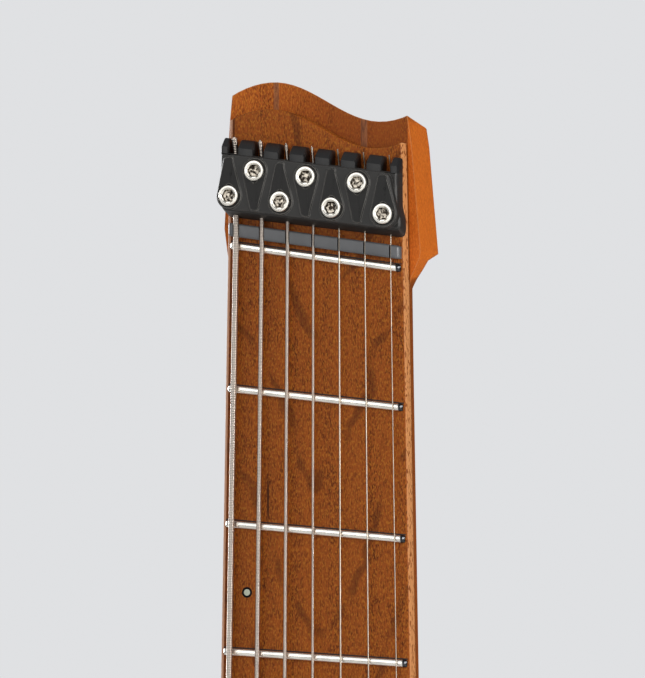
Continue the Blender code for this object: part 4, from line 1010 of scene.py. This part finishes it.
def board_layers(*layers):
    """Layers whose heights are measured forward from the fingerboard's face."""
    return [(BOARD_Y - forward, grow) for forward, grow in layers]


print("layer helpers ready")

# %% [markdown]
# The block reaches back to the board, and its underside slopes away from the nut. The plate on it is
# rounded at both ends around its outermost screws, so its outline starts from those two circles.

# %% Headpiece block and plate
BLOCK_FRONT, BLOCK_LOW, SLOPE_TALL = 5.3, 7.7, 4.0
BLOCK_CORNERS = [(-24.3, 9.4, 1.6), (25.0, 9.4, 2.0), (25.2, 12.4, 1.5), (24.2, 15.5, 1.5),
                 (24.2, 24.5, 0.3), (-24.4, 24.5, 0.3), (-24.7, 15.0, 1.5)]
ROUND_BASS, ROUND_TREBLE, TIP_HALF = 3.45, 3.8, 1.4


def undercut(point):
    """The block's underside slopes: it reaches lower at the back."""
    above = point.z - plate_z(point.x) - PLATE_LOW
    if above > SLOPE_TALL:
        return point
    back = 1 - (BOARD_Y - point.y) / BLOCK_FRONT
    return point - Vector((0, 0, (PLATE_LOW - BLOCK_LOW) * max(0.0, back) * (1 - above / SLOPE_TALL)))


block_edge = smooth_outline([(x, plate_z(x) + z) for x, z, _ in BLOCK_CORNERS],
                            [radius for _, _, radius in BLOCK_CORNERS])
block = slab(block_edge, board_layers((0.05, -0.3), (0.35, 0.0), (2.0, 0.0), (3.6, 0.0), (4.8, -0.1),
                                      (BLOCK_FRONT, -0.5)), undercut)
first, last = screw_spot(0), screw_spot(STRINGS - 1)
ends = arc(first, ROUND_BASS, 187, 265, 9) + arc(last, ROUND_TREBLE, 275, 353, 9)
corners = [(x, plate_z(x) + PLATE_HIGH) for x in (last[0] + TIP_HALF, first[0] - TIP_HALF / 2)]
plate_edge = smooth_outline(ends + corners, [0.0] * len(ends) + [1.8, 1.6])
plate = slab(plate_edge, board_layers((4.4, -0.6), (5.2, -0.02), (6.95, 0.0), (7.18, -0.08),
                                      (PLATE_FRONT, -0.28)))
print("block and plate outlines:", len(block_edge), len(plate_edge))

# %% [markdown]
# Around each screw the plate has a pad that tapers away from it, by turns up and down. A pad's outline
# is the circle round its screw and two lines that close in on a narrow, rounded end. The pads stand
# only a third of a millimetre proud, just enough to draw a bright line on one side. Small dimples and
# the shade round each screw head finish the plate.

# %% Headpiece pads
PAD_FACE = PLATE_FRONT + 0.34
PAD_GAP, WELL, SEAT_ANGLE = 0.75, HEAD + 0.42, 8
DIMPLE = [(0.0, 0.0), (0.36, 0.0), (0.36, 0.10), (0.30, 0.12), (0.12, 0.03), (0.0, 0.02)]
SHADE = [(HEAD + 0.05, 0.0), (HEAD + 0.46, 0.0), (HEAD + 0.46, 0.05), (HEAD + 0.05, 0.05)]


def pad_edge(index):
    x, z = screw_spot(index)
    outer = index in (0, STRINGS - 1)
    turn = 1 if index % 2 == 0 else -1
    reach = (PLATE_HIGH - ROW_LOW if turn > 0 else ROW_HIGH - PLATE_LOW) - PAD_GAP
    wide, tip = 3.5 if index == STRINGS - 1 else 3.3, 1.3 if outer else 1.15
    circle = arc((x, z), wide, 180 - SEAT_ANGLE, 360 + SEAT_ANGLE, 20)
    end = smooth_outline([(x + tip, z + turn * reach), (x - tip, z + turn * reach), (x - wide, z)],
                         [tip * 0.8, tip * 0.8, 0.1])[:12]
    return [(px, turn * (pz - z) + z) for px, pz in circle] + end


def pad(index):
    """A slab with a round well: its rings go up the outside, into the well, and join up behind."""
    base, centre = anticlockwise(pad_edge(index)), Vector(screw_spot(index))
    rings = [[Vector((x, y, z)) for x, z in outset(base, grow)] for y, grow in board_layers(
        (PLATE_FRONT - 0.3, 0.26), (PLATE_FRONT + 0.02, 0.24), (PAD_FACE, 0.0))]
    around = [(point - centre).normalized() * WELL for point in base]
    for down, wider in ((0.0, 1.03), (0.06, 1.0), (1.4, 1.0)):
        rings.append([Vector((centre.x + out.x * wider, BOARD_Y - PAD_FACE + down,
                              centre.y + out.y * wider)) for out in around])
    return rings + rings[:1]


piece("headpiece_block", [block, plate] + [pad(index) for index in range(STRINGS)], anodised,
      stands_for="headpiece", sharp=20.0,
      second=(pad_black, lambda middle: middle.y < BOARD_Y - PLATE_FRONT - 0.08))
dimples = []
for (x, z), above in ((first, 5.6), (last, 6.5)):
    dimples.append(lathe(DIMPLE, (x + 0.45, BOARD_Y - PAD_FACE + 0.09, z + above), (0, -1, 0), 20))
piece("headpiece_dimples", dimples, dot_black)
spots = [screw_spot(index) for index in range(STRINGS)]
piece("screw_seat_shadow", [lathe(SHADE, (x, BOARD_Y - PLATE_FRONT, z), (0, -1, 0), 40) for x, z in spots],
      seat_shadow)
print("pads:", len(spots))

# %% [markdown]
# The prongs that keep the cut string ends apart slope back at their tips. They sit behind the plate in
# its shade, and their black is deeper than the plate's, so they are a piece of their own.

# %% Prongs
PRONG_SIDE = [(-0.1, -3.0), (-0.1, 4.35), (-2.0, 4.35), (-2.6, 4.1), (-4.7, 2.3), (-5.0, 1.9),
              (-5.1, -3.0)]
PRONG_HALF, PRONG_BASS, PRONG_TREBLE = 2.05, (-24.3, -22.5), (22.2, 24.12)


def prong(low_x, high_x):
    """A prong seen from the side is a bar with its front sloping back; it leans with the plate."""
    stations = [(0.0, 0.30), (0.12, 0.10), (0.35, 0.0)]
    places = [(low_x + far, shrink) for far, shrink in stations]
    places += [(high_x - far, shrink) for far, shrink in reversed(stations)]
    return [[Vector((x, BOARD_Y + y + (shrink if y < -1 else 0.0),
                     plate_z(x) + PLATE_HIGH + z - (shrink if z > 0 else 0.0))) for y, z in PRONG_SIDE]
            for x, shrink in places]


gaps = [(share_of(index) - 0.5 / (STRINGS - 1)) * NUT_SPREAD for index in range(1, STRINGS)]
prongs = [PRONG_BASS] + [(x - PRONG_HALF, x + PRONG_HALF) for x in gaps] + [PRONG_TREBLE]
piece("headpiece_prongs", [prong(*span) for span in prongs], deep_black_and_shade, sharp=25.0)
print("prongs:", len(prongs))

# %% [markdown]
# Each string has its own bridge unit, and the small parts on it are what a player adjusts. A grooved
# steel roller carries the string, two grub screws beside the window set its height, and a cap screw
# on the end sets the string's length. They ride on their unit, so they slide with it.

# %% Bridge units
ROLLER, ROLLER_HALF, ROLLER_CHAMFER, ROLLER_ABOVE = 1.55, 3.9, 0.3, 0.7
UNIT_FACE, UNIT_TOP, STRING_CLEAR = -37.9, 4.0, 0.02
GRUB_X, GRUB_DOWN, CLAMP_DOWN, LENGTH_SCREW_Y = 3.35, 4.4, 44.2, -33.6
RIB_HALF, RIB_TALL, RIB_FIRST, RIB_PITCH, RIB_ROUND = 3.2, 2.6, 26.0, 5.0, 1.2
RIB_LAYERS = [(UNIT_FACE + 0.3, 0.0), (UNIT_FACE - 0.14, 0.0), (UNIT_FACE - 0.25, -0.14)]


def cap_screw(origin, direction, radius, tall, socket, under, dome=0.0):
    """A screw head with a hexagon socket, standing tall above its origin; dome rounds its top."""
    rim = radius * 0.14 + dome
    power, part = (1.6, 1.0) if dome else (1.0, 0.28)
    profile = [(0.0, -under), (radius, -under), (radius, tall - rim)]
    for share in (0.25, 0.5, 0.75, 1.0):
        inward = (radius - socket * 1.15) * share ** power * part
        profile.append((radius - inward, tall - rim * (1 - share) ** 2))
    profile += [(socket * wide, tall - socket * down) for wide, down in (
        (1.12, 0.0), (1.0, 0.12), (0.97, 0.95), (0.5, 1.15), (0.0, 1.2))]
    return lathe(profile, origin, direction, 36, hexagons(-1, socket * 1.01, tall - socket * 1.1))


def box(x, z, half, tall):
    """Corners of an upright rectangle that stands on z."""
    return [(x - half, z), (x + half, z), (x + half, z + tall), (x - half, z + tall)]


for index in range(STRINGS):
    x, z = share_of(index) * BRIDGE_SPREAD, saddle_z(share_of(index))
    radius, unit, number = GAUGES[index] / 2, f"unit_{index + 1}", index + 1
    groove, waist, long = radius + 0.28, ROLLER - ROLLER_CHAMFER, 2 * ROLLER_HALF
    profile = [(0.0, 0.0), (waist, 0.0), (ROLLER, ROLLER_CHAMFER), (ROLLER, ROLLER_HALF - groove),
               (waist, ROLLER_HALF - 0.3 * groove), (waist, ROLLER_HALF + 0.3 * groove),
               (ROLLER, ROLLER_HALF + groove), (ROLLER, long - ROLLER_CHAMFER), (waist, long), (0.0, long)]
    seat = (x - ROLLER_HALF, SADDLE_Y + radius + STRING_CLEAR + waist, z + ROLLER_ABOVE)
    piece(f"saddle_roller_{number}", [lathe(profile, seat, (1, 0, 0), 40)], nickel, unit,
          sharp=40.0)
    screws = [cap_screw((x + side * GRUB_X, UNIT_FACE, z - GRUB_DOWN), (0, -1, 0), 1.15, 0.35, 0.55, 1.0)
              for side in (-1, 1)]
    screws.append(cap_screw((x, UNIT_FACE, z - CLAMP_DOWN), (0, -1, 0), 1.9, 0.45, 1.0, 0.6))
    screws.append(cap_screw((x, LENGTH_SCREW_Y, z + UNIT_TOP), (0, 0, 1), 2.2, 2.0, 1.15, 0.8))
    piece(f"unit_screws_{number}", screws, rod_metal, unit)
    # The ribs get the deep black as painted shade, so they read as milled recesses.
    ribs = [box(x, z - RIB_FIRST - RIB_PITCH * k, RIB_HALF, RIB_TALL) for k in range(3)]
    piece(f"unit_ribs_{number}", [slab(smooth_outline(rib, RIB_ROUND, 4), RIB_LAYERS) for rib in ribs],
          deep_black_and_shade, unit, sharp=30.0)
print("bridge units detailed:", STRINGS)

# %% [markdown]
# The tuner knobs are knurled, because fingers have to turn them against the string's full pull. A
# knurling wheel rolls two sets of slanted grooves into the metal as it turns on the lathe, and the
# ripple does the same here: a point sinks where it lies near a groove of either set.

# %% Knurled tuner knobs
def knurl(radius, low, high, depth, count, lead):
    """A ripple that sinks two crossing sets of slanted grooves between two heights."""
    def ripple(r, height, angle):
        if r < radius - 0.01 or not low < height < high:
            return r
        turns = angle / (2 * math.pi)
        cuts = [abs((count * (turns + way * height / lead)) % 1.0 - 0.5) * 2 for way in (-1, 1)]
        near = max(0.0, 1.0 - min(1 - cut for cut in cuts) * 2.4)
        fade = min(1.0, (height - low) / 0.4, (high - height) / 0.4)
        return r - depth * near * fade
    return ripple


def around(radius, points):
    """Profile points whose radii are measured from an outer radius."""
    return [(radius + out, height) for out, height in points]


KNOB, STUD, KNOB_SEAT = 4.6, 1.5, 50.3
KNOB_FOOT = [(-1.1, 0.0), (-0.5, 0.35), (-0.5, 1.3), (-0.1, 1.7)]
KNOB_CAP = [(-0.1, 11.9), (-0.5, 12.2), (-0.5, 12.8), (-0.15, 13.1), (-0.3, 13.6), (-0.8, 14.0),
            (-2.0, 14.0), (-2.3, 13.7)]
profile = [(0.0, -14.3), (STUD, -14.3), (STUD, 0.0)] + around(KNOB, KNOB_FOOT)
profile += [(KNOB, 2.0 + 9.6 * i / 32) for i in range(33)] + around(KNOB, KNOB_CAP) + [(0.0, 13.5)]
for index in range(STRINGS):
    x, z = share_of(index) * BRIDGE_SPREAD, saddle_z(share_of(index)) - KNOB_SEAT
    shell = lathe(profile, (x, TUNER_Y, z), (0, 0, -1), 112, knurl(KNOB, 2.0, 11.6, 0.34, 16, 26))
    piece(f"knurled_knob_{index + 1}", [shell], anodised, f"knob_{index + 1}",
          f"tuner_knob_{index + 1}", 50.0)
print("tuner knobs:", STRINGS)

# %% [markdown]
# The pickups are coils cast in a plain plastic cover, whose edges are moulded round so they don't
# catch the hand. Each is held from the front by two button screws.

# %% Pickups
PICKUP_HALF, PICKUP_TALL, PICKUP_FACE, PICKUP_FLOOR, PICKUP_ROUND = 45.0, 18.5, -36.5, -18.5, 1.6
PICKUP_CORNER, PICKUP_SCREW_IN = 5.0, 4.6
layers = [(PICKUP_FLOOR, -0.3), (PICKUP_FLOOR - 0.3, 0.0), (PICKUP_FACE + PICKUP_ROUND, 0.0)]
layers += [(PICKUP_FACE + PICKUP_ROUND * (1 - math.sin(a)), -PICKUP_ROUND * (1 - math.cos(a)))
           for a in (math.pi / 2 * i / 5 for i in range(1, 6))]
for name, place_z, slope in (("neck_pickup", 226.0, 0.15), ("bridge_pickup", 141.0, 0.185)):
    corners = [(sx * PICKUP_HALF, place_z + sz * PICKUP_TALL + slope * sx * PICKUP_HALF)
               for sx, sz in ((-1, -1), (1, -1), (1, 1), (-1, 1))]
    piece(name + "_cover", [slab(smooth_outline(corners, PICKUP_CORNER, 8), layers)], pickup_plastic,
          stands_for=name, sharp=32.0)
    screws = [cap_screw((x, PICKUP_FACE, place_z + slope * x), (0, -1, 0), 2.4, 0.9, 1.0, 0.5, 0.3)
              for x in (PICKUP_SCREW_IN - PICKUP_HALF, PICKUP_HALF - PICKUP_SCREW_IN)]
    piece(name + "_screws", screws, rod_metal)
print("pickups made")

# %% [markdown]
# The two control knobs are turned from bar, knurled on the side and dished on top, with a fine pale
# line filled into the rim to show where they point. They ride on their own bodies, so they turn.

# %% Control knobs
CONTROL, CONTROL_Y, BUSH, POINTER_UP = 9.0, -30.8, 2.9, 4.6
CONTROL_FOOT = [(-0.6, 0.0), (-0.2, 0.3), (-0.2, 1.6)]
CONTROL_CAP = [(-0.3, 11.4), (-0.3, 13.2), (-0.5, 14.1), (-1.1, 14.8), (-1.8, 15.0), (-2.4, 14.9),
               (-3.6, 14.55), (-6.0, 14.3)]
POINTER_LAYERS = [(CONTROL_Y - 14.0, 0.0), (CONTROL_Y - 14.94, 0.0), (CONTROL_Y - 14.99, -0.06)]
profile = [(0.0, -16.8), (BUSH, -16.8), (BUSH, 0.0)] + around(CONTROL, CONTROL_FOOT)
profile += [(CONTROL, 2.0 + 9.0 * i / 30) for i in range(31)] + around(CONTROL, CONTROL_CAP)
profile.append((0.0, 14.25))
for name, body, x, z in (("volume_knob", "volume_control", 99, 152),
                         ("tone_knob", "tone_control", 112, 116)):
    shell = lathe(profile, (x, CONTROL_Y, z), (0, -1, 0), 144, knurl(CONTROL, 2.0, 11.0, 0.42, 28, 54))
    piece(name + "_turned", [shell], anodised, body, name, 50.0)
    piece(name + "_pointer", [slab(box(x, z + POINTER_UP, 0.35, 2.8), POINTER_LAYERS)], pointer_paint,
          body)
print("control knobs made")

# %% [markdown]
# A round nut holds the selector to the body, and a hexagon nut holds the jack in its flange.

# %% Selector nut and jack
MIDDLE_Y, JACK_Z, JACK_END, JACK_LONG = (BODY_FRONT + BODY_BACK) / 2, 84, 150.3, 29.5
SELECTOR_NUT, SELECTOR_BORE, NO_SLANT = 7.3, 4.75, 1000
profile = [(SELECTOR_BORE, 0.0), (SELECTOR_NUT, 0.0)]
profile += [(SELECTOR_NUT, height) for height in (0.3, 0.55, 0.8, 1.05, 1.3)]
profile += [(6.9, 1.45), (SELECTOR_BORE, 1.45)]
shell = lathe(profile, (91, BODY_FRONT - 0.02, 188), (0, -1, 0), 96,
              knurl(SELECTOR_NUT, 0.25, 1.35, 0.3, 24, NO_SLANT))
piece("selector_nut", [shell], anodised, sharp=40.0)
JACK_PROFILE = [(0.0, 3.0), (3.25, 3.0), (3.25, 29.2), (3.55, 29.5), (8.6, 29.5), (9.0, 29.2),
                (10.4, 29.2), (11.0, 28.6), (11.0, 27.0), (7.5, 27.0), (7.5, 0.0), (0.0, 0.0)]
piece("jack_flange", [lathe(JACK_PROFILE, (JACK_END - JACK_LONG, MIDDLE_Y, JACK_Z), (1, 0, 0), 64)],
      anodised, stands_for="output_jack", sharp=30.0)
NUT_PROFILE = [(3.7, 0.0), (6.3, 0.0), (6.3, 1.5), (5.7, 1.9), (4.5, 1.9), (4.4, 2.3), (3.7, 2.3)]
piece("jack_nut", [lathe(NUT_PROFILE, (JACK_END - 0.02, MIDDLE_Y, JACK_Z), (1, 0, 0), 72,
                         hexagons(4.6, 99, -99))], nickel, sharp=28.0)
print("selector nut and jack made")

# %% [markdown]
# Strap buttons are turned with a waist for the strap's slit and held by a screw through the middle.
# Four long bolts with flat heads hold the neck from behind.

# %% Strap buttons and neck bolts
BUTTON_TALL, WAIST_STEPS, BOLT_TIP_Y = 11.7, 6, BOARD_Y + BOARD_THICK + 9.3
profile = [(0.0, -14.0), (2.2, -14.0), (2.2, 0.0), (6.6, 0.0), (6.8, 0.3), (6.8, 0.9)]
profile += [(6.8 - 2.6 * math.sin(a), 0.9 + 2.2 * (1 - math.cos(a)))
            for a in (math.pi / 2 * i / WAIST_STEPS for i in range(1, WAIST_STEPS + 1))]
profile += [(4.2, 6.5), (4.5, 7.3), (5.6, 8.1), (7.6, 8.9), (8.0, 9.3), (8.0, 10.4), (7.6, 11.1),
            (6.6, 11.6), (5.8, 11.7), (3.6, 10.8), (0.0, 10.8)]
for name, seat, direction in (("strap_button_tail", (0, 0, BUTTON_TALL), (0, 0, -1)),
                              ("strap_button_horn", (-96, MIDDLE_Y, 398.3), (0, 0, 1))):
    piece(name + "_turned", [lathe(profile, seat, direction, 64)], anodised,
          stands_for=name, sharp=40.0)
    screw = cap_screw(Vector(seat) + Vector(direction) * 10.8, direction, 3.0, 0.8, 1.3, 0.3, 0.4)
    piece(name + "_screw", [screw], rod_metal)

tall = BODY_BACK - BOLT_TIP_Y
profile = [(0.0, 0.0), (1.7, 0.0), (2.0, 0.4)] + [(r, tall - down) for r, down in (
    (2.0, 3.6), (4.2, 3.6), (4.5, 3.3), (4.5, 0.5), (4.0, 0.0), (2.55, 0.0), (2.35, 0.2), (2.3, 2.0),
    (0.0, 2.2))]
for index in range(4):
    x, z = (-16, 16)[index % 2], last_treble[1] - PAST_LAST + (12, 34)[index // 2]
    shell = lathe(profile, (x, BOLT_TIP_Y, z), (0, 1, 0), 48, hexagons(-1, 2.36, tall - 2.1))
    piece(f"neck_screw_{index + 1}", [shell], nickel, stands_for=f"neck_bolt_{index + 1}",
          sharp=28.0)
print("buttons and bolts made")

# %% [markdown]
# The cover closes the control cavity from behind. It lies a little below the body's back, so that its
# screws stand clear of nothing but the plate itself, and each screw sits just inside a corner.

# %% Cavity cover
CAVITY = [(76, 112), (104, 68), (132, 74), (134, 116), (121, 160), (103, 204), (78, 204)]
COVER_FACE, COVER_PAST, SCREW_IN = BODY_BACK - 0.55, 4.0, 0.6
cover_edge = smooth_outline(outset(anticlockwise(CAVITY), COVER_PAST), 0.8, 3)
piece("cover_plate", [slab(cover_edge, [(BODY_BACK - 2.5, 0.0), (COVER_FACE - 0.35, 0.0),
                                        (COVER_FACE - 0.1, -0.1), (COVER_FACE, -0.35)])],
      cover_plastic, stands_for="control_cover", sharp=25.0)
middle = sum((Vector(p) for p in CAVITY), Vector((0, 0))) / len(CAVITY)
spots = [Vector(p) - (Vector(p) - middle).normalized() * SCREW_IN for p in CAVITY]
piece("cover_screws", [cap_screw((spot.x, COVER_FACE, spot.y), (0, 1, 0), 2.3, 0.5, 1.0, 0.8, 0.1)
                       for spot in spots], rod_metal, sharp=30.0)
print("cover screws:", len(spots))
